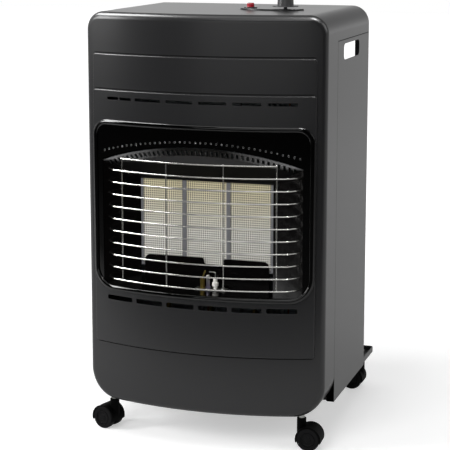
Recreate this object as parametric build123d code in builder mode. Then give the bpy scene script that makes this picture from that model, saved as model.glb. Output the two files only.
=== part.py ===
"""Portable LPG cabinet heater with three ceramic burners, on four twin-wheel castors.

Frame: +X right, the fascia faces -Y, +Z up. The origin is on the floor, in the middle of the
overall width and depth. Millimetres throughout. Each "depth" is measured back from the side
edges of the fascia's bowed front.
"""
from build123d import *

import math
import os

os.makedirs("parts", exist_ok=True)

# ================================================================ driving dimensions
# Cabinet
cabinet_width = 420.0
cabinet_top = 731.0
sheet = 1.2                      # painted steel of the cabinet
seam_flange = 12.0               # inward flange along every cabinet seam
rear_flange = 25.0               # inward flange down each side of the open back
panel_depth = 232.0              # side panels, front seam to back edge
panel_foot = 64.6                # lower edge of the side panels above the floor
cover_skirt = 46.0               # height of the top cover's skirt
top_corner = 31.0                # corner radius at the cabinet's top edges
handle_depths = (113.0, 227.0)   # front and back of the hand hole in each side
handle_drops = (54.0, 81.0)      # top and foot of the hand hole below the cabinet's top
handle_corner = 8.0

# Fascia
fascia_foot = 58.0
fascia_bow = 42.0                # the middle stands this far ahead of the side edges
fascia_return = 71.0             # depth of the side returns
foot_corner = 52.0
front_round = 12.0
foot_opening_margin = 27.0       # each end of the clearance in the bottom return, in from the side
foot_opening_height = 28.0
step_proud = 2.0                 # each level of the raised panel stands this much further out
step_margin = 15.0               # raised panel in from the sides
step_rise = 105.0                # foot of the raised panel above the fascia's
step_drops = (70.0, 130.0)       # top of each level below the cabinet's top
step_corner = 5.0
step_round = 1.4
slot_count = 6
slot_margin = 28.0               # row of upper slots in from the raised panel's ends
upper_slot = (47.0, 5.0)
upper_slot_corner = 1.2
upper_slot_drop = 13.5           # middle of the slots below the top of the outer level
lower_slot = (50.0, 8.0)
lower_slot_corner = 2.5
lower_slot_drop = 13.0           # middle of the slots below the fire surround
slot_rib = 3.0                   # rib that divides the first upper slot
slot_rib_offset = 2.0

# Fire surround
surround_drop = 180.0            # top of the surround below the cabinet's top
surround_height = 294.0
surround_foot_corner = 40.0
surround_top_corner = 28.0
surround_sheet = 1.0
surround_lap = 7.0               # how far the surround laps over the fascia's opening
bead_width = 5.0
bead_height = 2.4
bead_round = 1.1
aperture_margin = 19.0           # aperture in from the sides of the surround
aperture_rise = 9.0              # foot of the aperture above the surround's
aperture_corner = 12.0
perforation_margin = 24.0        # row in from the sides of the surround
perforation_pitch = 9.0
perforation_radius = 1.5
perforation_drops = (29.0, 52.0)     # middle and ends of the row below the surround's top
lay_gap = 0.05                   # between sheets laid on each other

# Burner and firebox
burner_depth = 10.0              # burner face behind the fascia's side edges
burner_rise = 32.0               # burner above the floor of the firebox
burner_height = 153.5
burner_frame_depth = 14.0
burner_sheet = 1.2
burner_rim = 3.0                 # frame above and below the plaques
burner_end_strip = 4.0
divider = 7.0
plaque_window = 71.0
plaque_thickness = 12.0
plaque_lap = 1.7                 # plaque behind the window's edge
shell_width = 76.0
shell_depth = 27.0
shell_round = 8.0
venturi_radius = 11.0
venturi_wall = 2.0
venturi_length = 58.0
venturi_flare = 14.0
venturi_flare_height = 8.0
reflector_slope = 47.5           # climb of the upper reflector towards the front, degrees
reflector_sheet = 1.0
reflector_flange = 12.0
floor_flange = 13.0              # depth of the floor's bowed flange behind the fascia
floor_flange_margin = 6.0        # flange in from the sides of the aperture
floor_flange_corner = 4.0
reflector_slot = (9.0, 4.2)
reflector_slot_pitch = 8.58
reflector_slot_margin = 11.0     # row in from the sides of the aperture
reflector_slot_setback = 7.0     # middle of the slots behind the reflector's front edge
cheek_spread = 2.4               # a cheek's sheet, measured along X
baffle_height = 51.0
baffle_margin = 6.5              # baffle in from the ends of the burner
baffle_corner = 10.0
baffle_notch = (34.0, 10.5)
baffle_notch_x = 13.0
baffle_notch_round = 4.5

# Guard
guard_reach = 57.5               # front of the guard ahead of the fascia's side edges
wire_radius = 1.2
guard_wire_count = 10
guard_wire_pitch = 20.9
guard_rise = 12.5                # lowest wire above the floor of the firebox
guard_bow_radius = 431.0
guard_bend_margin = 23.0         # where each wire turns back to its cheek, in from the aperture's side
guard_end_margin = 4.0           # wire ends in from the aperture's side
guard_end_reach = 8.0            # wire ends ahead of the fascia's side edges
guard_bend_radius = 5.0
guard_hole_gap = 0.15
upright_radius = 1.0
outer_upright_margin = 17.0      # outer uprights in from the bends of the wires
inner_upright = 50.0             # inner uprights from the middle

# Tray and heat shield
tray_reach = 395.0               # back edge of the tray behind the fascia's side edges
tray_sheet = 1.5
tray_lip = 8.0
tray_gap = 0.5                   # between the tray and the cabinet round it
tray_front_gap = 2.0             # between the tray's narrow front end and the fascia's foot opening
tray_front_reach = 6.0           # narrow front end ahead of the fascia's side edges
tray_corner = 6.0
seat_radius = 130.0
seat_height = 2.0
seat_depth = 245.0
seat_chamfer = 0.8
shield_depth = 93.0
shield_drop = 91.0               # top of the shield below the cabinet's top
shield_gap = 0.3
shield_foot = 14.0
deflector_reach = 43.0
deflector_rise = 14.0
deflector_margin = 20.0          # left end of the deflector in from the cabinet's side
deflector_right = 20.0           # it stops here to let the pipes pass

# Controls
control_depth = 125.0            # knob and button behind the fascia's side edges
knob_x = 104.0
button_x = 42.0
escutcheon_ends = (22.0, 138.0)
escutcheon_half_depth = 24.0
escutcheon_tip = 4.0
escutcheon_thickness = 2.4
escutcheon_round = 0.8
knob_skirt_radius = 22.0
knob_skirt = 1.5
knob_radius = 14.0
knob_top_radius = 13.4
knob_lift = 3.4                  # gap under the knob at rest
knob_height = 14.0
knob_travel = 3.0
knob_top_round = 0.8
scallop_count = 8
scallop_radius = 12.0
scallop_bite = 0.9
knob_cap_radius = 9.5
knob_cap_height = 1.0
pointer_width = 2.0
spindle_radius = 3.0
spindle_flat = 0.8
spindle_entry = 8.0              # how far the spindle reaches into the knob
spindle_clearance = 1.5          # round the spindle where it passes the top cover
running_gap = 0.05
collar_radius = 6.5
collar_height = 3.0
collar_gap = 0.4                 # left under the collar when the knob is pressed home
button_radius = 6.5
button_height = 7.0
button_skirt = 11.0
button_bore_depth = 20.0
igniter_radius = 9.0
igniter_length = 42.0
bezel_radius = 11.5
bezel_height = 2.0
bezel_chamfer = 0.5
terminal_radius = 1.8
terminal_length = 5.0

# Gas train
valve_size = (56.0, 34.0, 26.0)
valve_drop = 46.0                # middle of the valve below the cabinet's top
valve_round = 3.0
valve_boss_radius = 9.0
valve_boss_height = 6.0
spindle_in_valve = 15.0
socket_pitch = 10.5
socket_radius = 4.0
socket_length = 4.0
bracket_sheet = 1.5
bracket_width = 24.0
bracket_flange = 10.0
hose_tail_radius = 4.25
hose_tail_length = 20.0
hose_tail_tip = 1.0
hose_hex = 14.0
hose_hex_length = 7.0
pipe_radius = 2.5
pilot_pipe_radius = 2.0
thermocouple_lead_radius = 1.2
igniter_lead_radius = 1.3
pipe_bend = 10.0
pipe_depth = 82.0                # plane of the vertical pipe runs, ahead of the heat shield
igniter_lead_depth = 71.5
run_drops = (32.0, 42.0, 52.0, 64.0, 74.0)   # level pipe runs below the injector rail
igniter_run_drop = 84.0
igniter_lead_drop = 24.0
nut_across = 8.5
nut_length = 7.0
rail_gap = 9.5                   # rail below the mouths of the venturi tubes
rail_sheet = 1.5
rail_end = 14.0                  # rail past the outer injectors
rail_overhang = 14.5             # rail ahead of and behind the injectors
rail_leg = 14.0
injector_hex = 10.0
injector_hex_height = 5.0
injector_radius = 2.6
injector_height = 12.0
injector_chamfer = 1.0
shank_radius = 3.0
shank_length = 7.0

# Pilot assembly
pilot_reach = 2.0                # pilot row ahead of the fascia's side edges
pilot_bracket_x = 13.0
pilot_bracket_size = (56.0, 18.0, 1.5)
pilot_bracket_round = 3.0
pilot_cutout_x = 9.0
pilot_cutout = (38.0, 11.0)
pilot_x = -3.0
thermocouple_x = 7.0
electrode_x = 20.0
pilot_screw_x = 34.0
pilot_tail = 9.0                 # how far each pilot piece reaches below the firebox floor
pilot_hex = 8.0
pilot_hex_height = 15.5
pilot_tube_radius = 3.0
nozzle_radius = 1.2
nozzle_bend = 3.0
nozzle_rise = (2.0, 15.0)        # where the nozzle starts to lean and its tip, above the hexagon
nozzle_lean = 5.0
insulator_radius = 3.0
insulator_height = 18.5          # above the bracket
insulator_round = 1.2
insulator_collar = 5.5
collar_heights = (4.5, 11.5)     # foot and top of the insulator's collar above the bracket
insulator_crown = 3.5
electrode_radius = 0.9
electrode_seat = 4.0             # how far the electrode reaches into its insulator
electrode_rise = 10.0
electrode_reach = 11.0           # sideways, over the thermocouple
electrode_bend = 3.0
probe_radius = 3.2
probe_round = 2.4
probe_height = 23.5              # above the bracket
probe_nut = (8.0, 4.0)

# Castors
wheel_radius = 20.0
wheel_round = 2.5
hub_recess = (13.0, 1.2)
hood_radius = 22.0
hood_wall = 1.2
hood_drop = 5.7                  # hood's lower edge below the axle
castor_width = 36.0
castor_web = 11.0
castor_web_drop = 6.0            # web's lower edge below the axle
castor_trail = 14.0
neck_top = 53.0
neck_radius = 8.0
swivel_radius = 3.6
swivel_depth = 21.0
swivel_gap = 0.3                 # between the neck and the collar above it
castor_collar_top = 60.0
castor_collar_radius = 5.0
castor_hex = 14.0
stud_radius = 4.0
stud_height = 9.0
castor_nut = 13.0
castor_nut_height = 6.5
axle_radius = 3.0
axle_entry = 9.0
wheel_gap = 0.3
front_castor = (40.0, 8.0)       # in from the cabinet's side, and depth
rear_castor = (20.0, 367.0)
castor_headings = {              # direction of each trailing axle, degrees from +X
    "front_left": 165.0,
    "front_right": 3.0,
    "rear_left": -20.0,
    "rear_right": 180.0,
}

# Fasteners
screw_radius = 2.0
screw_gap = 0.1
screw_head_radius = 3.8
screw_head_height = 2.4
screw_head_round = 0.9
screw_length = 6.0
seam_screw_count = 5
seam_screw_ends = (45.4, 20.0)   # lowest above the panel's foot, highest below its top
top_screw_x = 120.0
flange_screw_depths = (115.0, 265.0)
shield_screw_x = 140.0

# ================================================================ derived places
half_width = cabinet_width / 2
inner_half = half_width - sheet
front = (guard_reach - tray_reach) / 2           # Y of the fascia's side edges
seam = front + fascia_return                     # Y where the fascia meets sides and top
back = seam + panel_depth
cover_foot = cabinet_top - cover_skirt
handle_foot, handle_top = cabinet_top - handle_drops[1], cabinet_top - handle_drops[0]
tray_under = panel_foot + sheet
tray_floor = tray_under + tray_sheet
tray_top = tray_floor + tray_lip
tray_half = inner_half - tray_gap
tray_back = front + tray_reach

bow_radius = (half_width**2 + fascia_bow**2) / (2 * fascia_bow)
bow_centre = front - fascia_bow + bow_radius
step_half = half_width - step_margin
step_foot = fascia_foot + step_rise
step_tops = [cabinet_top - drop for drop in step_drops]
foot_opening_half = half_width - foot_opening_margin
panel_proud = step_proud * len(step_tops)        # outermost level of the fascia
surround_top = cabinet_top - surround_drop
surround_foot = surround_top - surround_height
aperture_half = step_half - aperture_margin
aperture_foot = surround_foot + aperture_rise
upper_slot_z = step_tops[-1] - upper_slot_drop
lower_slot_z = surround_foot - lower_slot_drop
slot_pitch = (2 * (step_half - slot_margin) - upper_slot[0]) / (slot_count - 1)
surround_back = panel_proud + lay_gap
surround_face = surround_back + surround_sheet
firebox_proud = panel_proud - sheet - lay_gap    # the firebox ends against the fascia's inside

burner_y = front + burner_depth
burner_pitch = plaque_window + divider
burner_xs = (-burner_pitch, 0.0, burner_pitch)
burner_half = burner_pitch + plaque_window / 2 + burner_end_strip
burner_foot = aperture_foot + burner_rise
burner_top = burner_foot + burner_height
burner_mid = (burner_foot + burner_top) / 2
plaque_y = burner_y + burner_sheet
plaque_height = burner_height - 2 * (burner_rim - plaque_lap)
plaque_foot = burner_mid - plaque_height / 2
shell_y = plaque_y + plaque_thickness
venturi_y = shell_y + shell_depth / 2
venturi_mouth = plaque_foot - venturi_length
firebox_half = burner_half + lay_gap             # inner width of the firebox at the burner
reflector_z = burner_top + lay_gap

baffle_top = aperture_foot + baffle_height
baffle_half = burner_half - baffle_margin

guard_centre = front - guard_reach + wire_radius + guard_bow_radius
guard_end_y = front - guard_end_reach
guard_bend_x = aperture_half - guard_bend_margin
guard_end_x = aperture_half - guard_end_margin
guard_foot = aperture_foot + guard_rise
guard_top = guard_foot + guard_wire_pitch * guard_wire_count
wire_heights = [guard_foot + guard_wire_pitch * i for i in range(guard_wire_count)]
outer_upright = guard_bend_x - outer_upright_margin
upright_places = (-outer_upright, -inner_upright, inner_upright, outer_upright)

control_y = front + control_depth
plate_top = cabinet_top + escutcheon_thickness
bezel_top = plate_top + bezel_height
knob_foot = plate_top + knob_lift
knob_top = knob_foot + knob_height
valve_z = cabinet_top - valve_drop
valve_foot = valve_z - valve_size[2] / 2
valve_boss_top = valve_z + valve_size[2] / 2 + valve_boss_height
socket_y = control_y - valve_size[1] / 2 - socket_length
socket_xs = [knob_x + socket_pitch * (i - len(run_drops) // 2) for i in range(len(run_drops))]
pipe_y = front + pipe_depth
rail_z = venturi_mouth - rail_gap
run_heights = [rail_z - drop for drop in run_drops]
shank_foot = rail_z - shank_length
pilot_y = front - pilot_reach
pilot_foot = aperture_foot - reflector_sheet - pilot_tail
pilot_bracket_top = aperture_foot + pilot_bracket_size[2]
insulator_top = pilot_bracket_top + insulator_height

castor_places = {
    "front_left": (-(half_width - front_castor[0]), front + front_castor[1]),
    "front_right": (half_width - front_castor[0], front + front_castor[1]),
    "rear_left": (-(half_width - rear_castor[0]), front + rear_castor[1]),
    "rear_right": (half_width - rear_castor[0], front + rear_castor[1]),
}

# Every cabinet seam is two inward flanges face to face, so its screws stay inside.
seam_screw_x = inner_half - seam_flange / 2
seam_screw_foot = panel_foot + seam_screw_ends[0]
seam_screw_pitch = (cover_foot - seam_screw_ends[1] - seam_screw_foot) / (seam_screw_count - 1)
seam_screw_heights = [seam_screw_foot + seam_screw_pitch * i for i in range(seam_screw_count)]
seam_screws = [(side * seam_screw_x, z) for side in (-1, 1) for z in seam_screw_heights]
top_screws = [(side * top_screw_x, cabinet_top - sheet - seam_flange / 2) for side in (-1, 1)]
flange_screws = [(side * seam_screw_x, front + d) for side in (-1, 1) for d in flange_screw_depths]
shield_y = front + shield_depth
shield_screw_y = shield_y + sheet + shield_foot / 2
shield_screws = [(side * shield_screw_x, shield_screw_y) for side in (-1, 1)]
screw_hole = screw_radius + screw_gap


# ================================================================ shared forms
def bow_y(x, proud=0.0):
    """Y of the fascia's bow at x, moved forward by proud."""
    return bow_centre - math.sqrt((bow_radius + proud) ** 2 - x**2)


def guard_y(x):
    """Y of the guard's bowed wires at x."""
    return guard_centre - math.sqrt(guard_bow_radius**2 - x**2)


def save(part, label):
    """Label one finished piece and write it."""
    part.label = label
    export_step(part, f"parts/{label}.step")


def group(pieces):
    """Companion solids kept in one node."""
    return Part(children=list(pieces))


def front_view(y):
    """Drawing plane seen from the front at one Y; extruding from it goes forward."""
    return Plane.XZ.offset(-y)


def across_from(origin, direction):
    """Drawing plane at a point, square to a direction."""
    return Plane(origin=origin, z_dir=direction)


def half_section(x, y, z):
    """Drawing plane through a vertical axis, for turned pieces: x is the radius, y the height."""
    return Plane(origin=(x, y, z), x_dir=(1, 0, 0), z_dir=(0, -1, 0))


def box_between(low, high):
    """Box from its lowest to its highest corner."""
    with BuildPart() as box:
        with Locations(tuple((a + b) / 2 for a, b in zip(low, high))):
            Box(*(b - a for a, b in zip(low, high)))
    return box.part


def disc(x, y, z, radius, height):
    """Upright cylinder on its foot at z."""
    with BuildPart() as piece:
        with BuildSketch(Plane.XY.offset(z)):
            with Locations((x, y)):
                Circle(radius)
        extrude(amount=height)
    return piece.part


def hex_prism(plane, across, height, bore=0.0):
    """Hexagonal nut or shoulder standing on a plane."""
    with BuildPart() as piece:
        with BuildSketch(plane):
            RegularPolygon(across / 2, 6, major_radius=False)
            if bore:
                Circle(bore, mode=Mode.SUBTRACT)
        extrude(amount=height)
    return piece.part


def turned(x, y, z, profile):
    """Solid of revolution about a vertical axis from (radius, height) points."""
    with BuildPart() as piece:
        with BuildSketch(half_section(x, y, z)):
            with BuildLine():
                Polyline(*profile, close=True)
            make_face()
        revolve(axis=Axis((x, y, 0), (0, 0, 1)))
    return piece.part


def bent_strip(plane, profile, thickness, width):
    """Folded sheet: a profile on the plane, thickened to its left and extruded."""
    with BuildPart() as strip:
        with BuildSketch(plane):
            with BuildLine():
                Polyline(*profile)
                offset(amount=thickness, side=Side.LEFT)
            make_face()
        extrude(amount=width)
    return strip.part


def tube_along(points, radius, bend=pipe_bend):
    """Round rod along straight runs joined by tangent arcs."""
    with BuildPart() as tube:
        with BuildLine() as path:
            FilletPolyline(*points, radius=bend)
        route = path.wires()[0]
        with BuildSketch(across_from(route @ 0, route % 0)):
            Circle(radius)
        sweep(path=route)
    return tube.part


def rounded_outline(half, foot, top, foot_round, top_round, y=0.0):
    """Front-view outline with one radius at its foot corners and another at its top corners."""
    with BuildSketch(front_view(y)) as outline:
        with Locations((0, (foot + top) / 2)):
            Rectangle(2 * half, top - foot)
        fillet(outline.vertices().group_by(Axis.Y)[0], foot_round)
        fillet(outline.vertices().group_by(Axis.Y)[-1], top_round)
    return outline.sketch


def bowed_block(outline, proud, rear, rounding=0.0):
    """Solid with a front-view outline and a front face on the bow, closed at Y = rear."""
    reach = half_width + fascia_bow
    with BuildPart() as block:
        with BuildSketch():
            with BuildLine():
                ThreePointArc(
                    (-reach, bow_y(reach, proud)), (0, bow_y(0, proud)), (reach, bow_y(reach, proud))
                )
                Polyline(
                    (reach, bow_y(reach, proud)), (reach, rear), (-reach, rear), (-reach, bow_y(reach, proud))
                )
            make_face()
        extrude(amount=2 * cabinet_top)
        extrude(outline, amount=2 * tray_reach, both=True, mode=Mode.INTERSECT)
        if rounding:
            fillet(block.faces().sort_by(Axis.Y)[0].edges(), rounding)
    return block.part


# ================================================================ cabinet
def fascia_form(inset):
    """The fascia's outer form, or the hollow inside it when inset is the sheet."""
    body = rounded_outline(
        half_width - inset,
        fascia_foot + inset,
        cabinet_top - inset,
        foot_corner - inset,
        top_corner - inset,
    )
    blocks = [bowed_block(body, -inset, seam - inset, front_round - inset)]
    for level, step_top in enumerate(step_tops, start=1):
        raised = rounded_outline(
            step_half - inset,
            step_foot + inset,
            step_top - inset,
            step_corner - inset,
            step_corner - inset,
        )
        rounding = 0.0 if inset else step_round
        blocks.append(bowed_block(raised, level * step_proud - inset, seam - inset, rounding))
    with BuildPart() as form:
        for block in blocks:
            add(block)
    return form.part


fascia_solid = fascia_form(0.0)
fascia_hollow = fascia_form(sheet)
rear_opening = rounded_outline(
    inner_half - seam_flange,
    fascia_foot + sheet + seam_flange,
    cabinet_top - sheet - seam_flange,
    foot_corner - sheet - seam_flange,
    top_corner - sheet - seam_flange,
    seam,
)
fire_opening = rounded_outline(
    step_half - surround_lap,
    surround_foot + surround_lap,
    surround_top - surround_lap,
    surround_foot_corner - surround_lap,
    surround_top_corner - surround_lap,
    front,
)
foot_opening = box_between(
    (-foot_opening_half, front, 0), (foot_opening_half, seam, fascia_foot + foot_opening_height)
)
slot_xs = [slot_pitch * (i - (slot_count - 1) / 2) for i in range(slot_count)]
half_slot = (upper_slot[0] - slot_rib) / 2
half_slot_xs = [
    slot_xs[0] + slot_rib_offset + side * (half_slot + slot_rib) / 2 for side in (-1, 1)
]

with BuildPart() as front_fascia:
    add(fascia_solid)
    add(fascia_hollow, mode=Mode.SUBTRACT)
    extrude(rear_opening, amount=2 * sheet, mode=Mode.SUBTRACT)
    extrude(fire_opening, amount=tray_reach, mode=Mode.SUBTRACT)
    add(foot_opening, mode=Mode.SUBTRACT)
    with BuildSketch(front_view(front)):
        with Locations([(x, upper_slot_z) for x in slot_xs[1:]]):
            RectangleRounded(*upper_slot, upper_slot_corner)
        with Locations([(x, upper_slot_z) for x in half_slot_xs]):
            RectangleRounded(half_slot, upper_slot[1], upper_slot_corner)
        with Locations([(x, lower_slot_z) for x in slot_xs]):
            RectangleRounded(*lower_slot, lower_slot_corner)
    extrude(amount=tray_reach, mode=Mode.SUBTRACT)
    with BuildSketch(front_view(seam)):
        with Locations(seam_screws + top_screws):
            Circle(screw_hole)
    extrude(amount=2 * sheet, mode=Mode.SUBTRACT)
save(front_fascia.part, "front_fascia")

# Side panel: a pan with flanges inward at its front, top, foot and back. The rear flange is the
# widest and stops above the tray's lip.
panel_block = box_between((half_width - rear_flange, seam, panel_foot), (half_width, back, cover_foot))
pan_hollow = box_between(
    (0, seam + sheet, panel_foot + sheet), (inner_half, back - sheet, cover_foot - sheet)
)
flange_trim = box_between((0, seam, 0), (inner_half - seam_flange, back - sheet, cover_foot))
lip_clearance = box_between((0, back - 2 * sheet, 0), (inner_half, back, tray_top + tray_gap))
with BuildPart() as right_side_panel:
    add(panel_block)
    add(pan_hollow, mode=Mode.SUBTRACT)
    add(flange_trim, mode=Mode.SUBTRACT)
    add(lip_clearance, mode=Mode.SUBTRACT)
    with BuildSketch(Plane.YZ.offset(half_width)):
        with Locations((front + sum(handle_depths) / 2, (handle_foot + handle_top) / 2)):
            RectangleRounded(handle_depths[1] - handle_depths[0], handle_top - handle_foot, handle_corner)
    extrude(amount=-2 * sheet, mode=Mode.SUBTRACT)
    with BuildSketch(front_view(seam)):
        with Locations([(x, z) for x, z in seam_screws if x > 0]):
            Circle(screw_hole)
    extrude(amount=-2 * sheet, mode=Mode.SUBTRACT)
    for z in (panel_foot, cover_foot - sheet):
        with BuildSketch(Plane.XY.offset(z)):
            with Locations([(x, y) for x, y in flange_screws if x > 0]):
                Circle(screw_hole)
        extrude(amount=sheet, mode=Mode.SUBTRACT)
save(right_side_panel.part, "right_side_panel")

with BuildPart() as left_side_panel:
    mirror(right_side_panel.part, about=Plane.YZ)
save(left_side_panel.part, "left_side_panel")


def cover_outline(inset, y):
    """Front-view outline of the top cover, moved inward by inset at its sides and top."""
    with BuildSketch(front_view(y)) as outline:
        with Locations((0, (cover_foot + cabinet_top - inset) / 2)):
            Rectangle(2 * (half_width - inset), cover_skirt - inset)
        fillet(outline.vertices().group_by(Axis.Y)[-1], top_corner - inset)
    return outline.sketch


cover_block = cover_outline(0.0, back)
cover_hollow = cover_outline(sheet, back - sheet)
cover_front_opening = cover_outline(sheet + seam_flange, seam + 2 * sheet)
cover_sill = box_between((-half_width, seam, cover_foot), (half_width, back, cover_foot + sheet))
sill_half = inner_half - seam_flange
sill_opening = box_between(
    (-sill_half, seam, cover_foot), (sill_half, back - seam_flange, cover_foot + sheet)
)
with BuildPart() as top_cover:
    extrude(cover_block, amount=panel_depth)
    extrude(cover_hollow, amount=panel_depth - 2 * sheet, mode=Mode.SUBTRACT)
    add(cover_sill)
    add(sill_opening, mode=Mode.SUBTRACT)
    extrude(cover_front_opening, amount=2 * sheet, mode=Mode.SUBTRACT)
    with BuildSketch(Plane.XY.offset(cabinet_top)):
        with Locations((knob_x, control_y)):
            Circle(spindle_radius + spindle_clearance)
        with Locations((button_x, control_y)):
            Circle(igniter_radius + screw_gap)
    extrude(amount=-2 * sheet, mode=Mode.SUBTRACT)
    with BuildSketch(front_view(seam)):
        with Locations(top_screws):
            Circle(screw_hole)
    extrude(amount=-2 * sheet, mode=Mode.SUBTRACT)
    with BuildSketch(Plane.XY.offset(cover_foot)):
        with Locations(flange_screws):
            Circle(screw_hole)
    extrude(amount=sheet, mode=Mode.SUBTRACT)
save(top_cover.part, "top_cover")


# Tray: a lipped pan with a narrow front end over the front castors and a round cylinder seat.
def tray_form(inset, foot):
    """The tray's outer form, or the hollow above its floor when inset is its sheet."""
    step_y = seam + 2 * sheet + inset
    front_half = foot_opening_half - tray_front_gap - inset
    with BuildPart() as form:
        add(box_between((-tray_half + inset, step_y, foot), (tray_half - inset, tray_back - inset, tray_top)))
        add(
            box_between(
                (-front_half, front - tray_front_reach + inset, foot),
                (front_half, step_y, tray_top),
            )
        )
        corners = form.edges().filter_by(Axis.Z).group_by(Axis.Y)
        fillet(corners[0] + corners[-1], tray_corner - inset)
    return form.part


tray_pan = tray_form(0.0, tray_under)
tray_hollow = tray_form(tray_sheet, tray_floor)
seat_y = front + seat_depth
with BuildPart() as base_tray:
    add(tray_pan)
    add(tray_hollow, mode=Mode.SUBTRACT)
    add(disc(0, seat_y, tray_floor, seat_radius, seat_height))
    seat_edges = base_tray.edges().filter_by(GeomType.CIRCLE).filter_by(lambda e: e.radius == seat_radius)
    chamfer(seat_edges.sort_by(Axis.Z)[-1], seat_chamfer)
    add(disc(0, seat_y, tray_under, seat_radius - tray_sheet, seat_height), mode=Mode.SUBTRACT)
    with BuildSketch(Plane.XY.offset(tray_under)):
        with Locations(list(castor_places.values())):
            Circle(stud_radius + screw_gap)
        with Locations(flange_screws + shield_screws):
            Circle(screw_hole)
    extrude(amount=tray_sheet, mode=Mode.SUBTRACT)
save(base_tray.part, "base_tray")

# Heat shield between burner and cylinder: a wall with a foot on the tray and, over the burner, a
# deflector that turns the hot air forward. Its lower corners clear the tray's lip.
shield_half = inner_half - shield_gap
shield_top = cabinet_top - shield_drop
lip_notch_half = tray_half - tray_sheet - shield_gap
shield_wall = bent_strip(
    Plane.YZ.offset(-shield_half),
    [
        (shield_y, shield_top),
        (shield_y, tray_floor),
        (shield_y + sheet + shield_foot, tray_floor),
    ],
    sheet,
    2 * shield_half,
)
with BuildPart() as lip_notches:
    add(
        box_between(
            (lip_notch_half, shield_y, tray_floor),
            (half_width, shield_y + sheet + shield_foot, tray_top + shield_gap),
        )
    )
    mirror(about=Plane.YZ)

deflector_left = deflector_margin - half_width
with BuildPart() as heat_shield:
    add(shield_wall)
    with BuildSketch(Plane.YZ.offset(deflector_left)):
        with BuildLine():
            Polyline(
                (shield_y, shield_top - sheet),
                (shield_y + sheet, shield_top),
                (shield_y - deflector_reach, shield_top + deflector_rise),
                (shield_y - deflector_reach, shield_top + deflector_rise - sheet),
                close=True,
            )
        make_face()
    extrude(amount=deflector_right - deflector_left)
    add(lip_notches, mode=Mode.SUBTRACT)
    with BuildSketch(Plane.XY.offset(tray_floor)):
        with Locations(shield_screws):
            Circle(screw_hole)
    extrude(amount=sheet, mode=Mode.SUBTRACT)
save(heat_shield.part, "heat_shield")


# ================================================================ fire surround
def slope_z(y):
    """Height of the upper reflector's lower face at y."""
    return reflector_z + (burner_y - y) * math.tan(math.radians(reflector_slope))


def perforation_z(x):
    """Height of the surround's arched row of perforations at x."""
    return surround_top - perforation_drops[0] - perforation_arc + math.sqrt(perforation_arc**2 - x**2)


surround_outline = rounded_outline(
    step_half, surround_foot, surround_top, surround_foot_corner, surround_top_corner
)
surround_field = rounded_outline(
    step_half - bead_width,
    surround_foot + bead_width,
    surround_top - bead_width,
    surround_foot_corner - bead_width,
    surround_top_corner - bead_width,
)
fascia_behind = rounded_outline(
    half_width, surround_foot - bead_width, surround_top + bead_width, bead_width, bead_width
)
bead_block = bowed_block(surround_outline, surround_face + bead_height, seam, bead_round)
field_block = bowed_block(surround_field, surround_face, seam)
behind_block = bowed_block(fascia_behind, surround_back, back)
perforations_each_side = int((step_half - perforation_margin) / perforation_pitch)
perforation_end = perforation_pitch * perforations_each_side
perforation_rise = perforation_drops[1] - perforation_drops[0]
perforation_arc = (perforation_end**2 + perforation_rise**2) / (2 * perforation_rise)
perforation_xs = [
    perforation_pitch * i for i in range(-perforations_each_side, perforations_each_side + 1)
]
crest_points = [(x, slope_z(bow_y(x, surround_face))) for x in (-aperture_half, 0, aperture_half)]

with BuildPart() as fire_surround:
    add(bead_block)
    extrude(surround_field, amount=2 * tray_reach, both=True, mode=Mode.SUBTRACT)
    add(field_block)
    add(behind_block, mode=Mode.SUBTRACT)
    with BuildSketch(front_view(front)) as holes:
        with BuildLine():
            ThreePointArc(*crest_points)
            Polyline(
                crest_points[-1], (aperture_half, aperture_foot), (-aperture_half, aperture_foot), crest_points[0]
            )
        make_face()
        fillet(holes.vertices().group_by(Axis.Y)[0], aperture_corner)
        with Locations([(x, perforation_z(x)) for x in perforation_xs]):
            Circle(perforation_radius)
    extrude(amount=tray_reach, mode=Mode.SUBTRACT)
save(fire_surround.part, "fire_surround")


# ================================================================ firebox
def firebox_plan(z, rear):
    """Plan at z from the bowed surround to Y = rear, wide at the front, over both cheeks."""
    wide = aperture_half + cheek_spread
    narrow = firebox_half + cheek_spread
    wide_y = bow_y(wide, firebox_proud)
    with BuildSketch(Plane.XY.offset(z)) as plan:
        with BuildLine():
            ThreePointArc((-wide, wide_y), (0, bow_y(0, firebox_proud)), (wide, wide_y))
            Polyline(
                (wide, wide_y),
                (narrow, burner_y),
                (narrow, rear),
                (-narrow, rear),
                (-narrow, burner_y),
                (-wide, wide_y),
            )
        make_face()
    return plan.sketch


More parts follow.
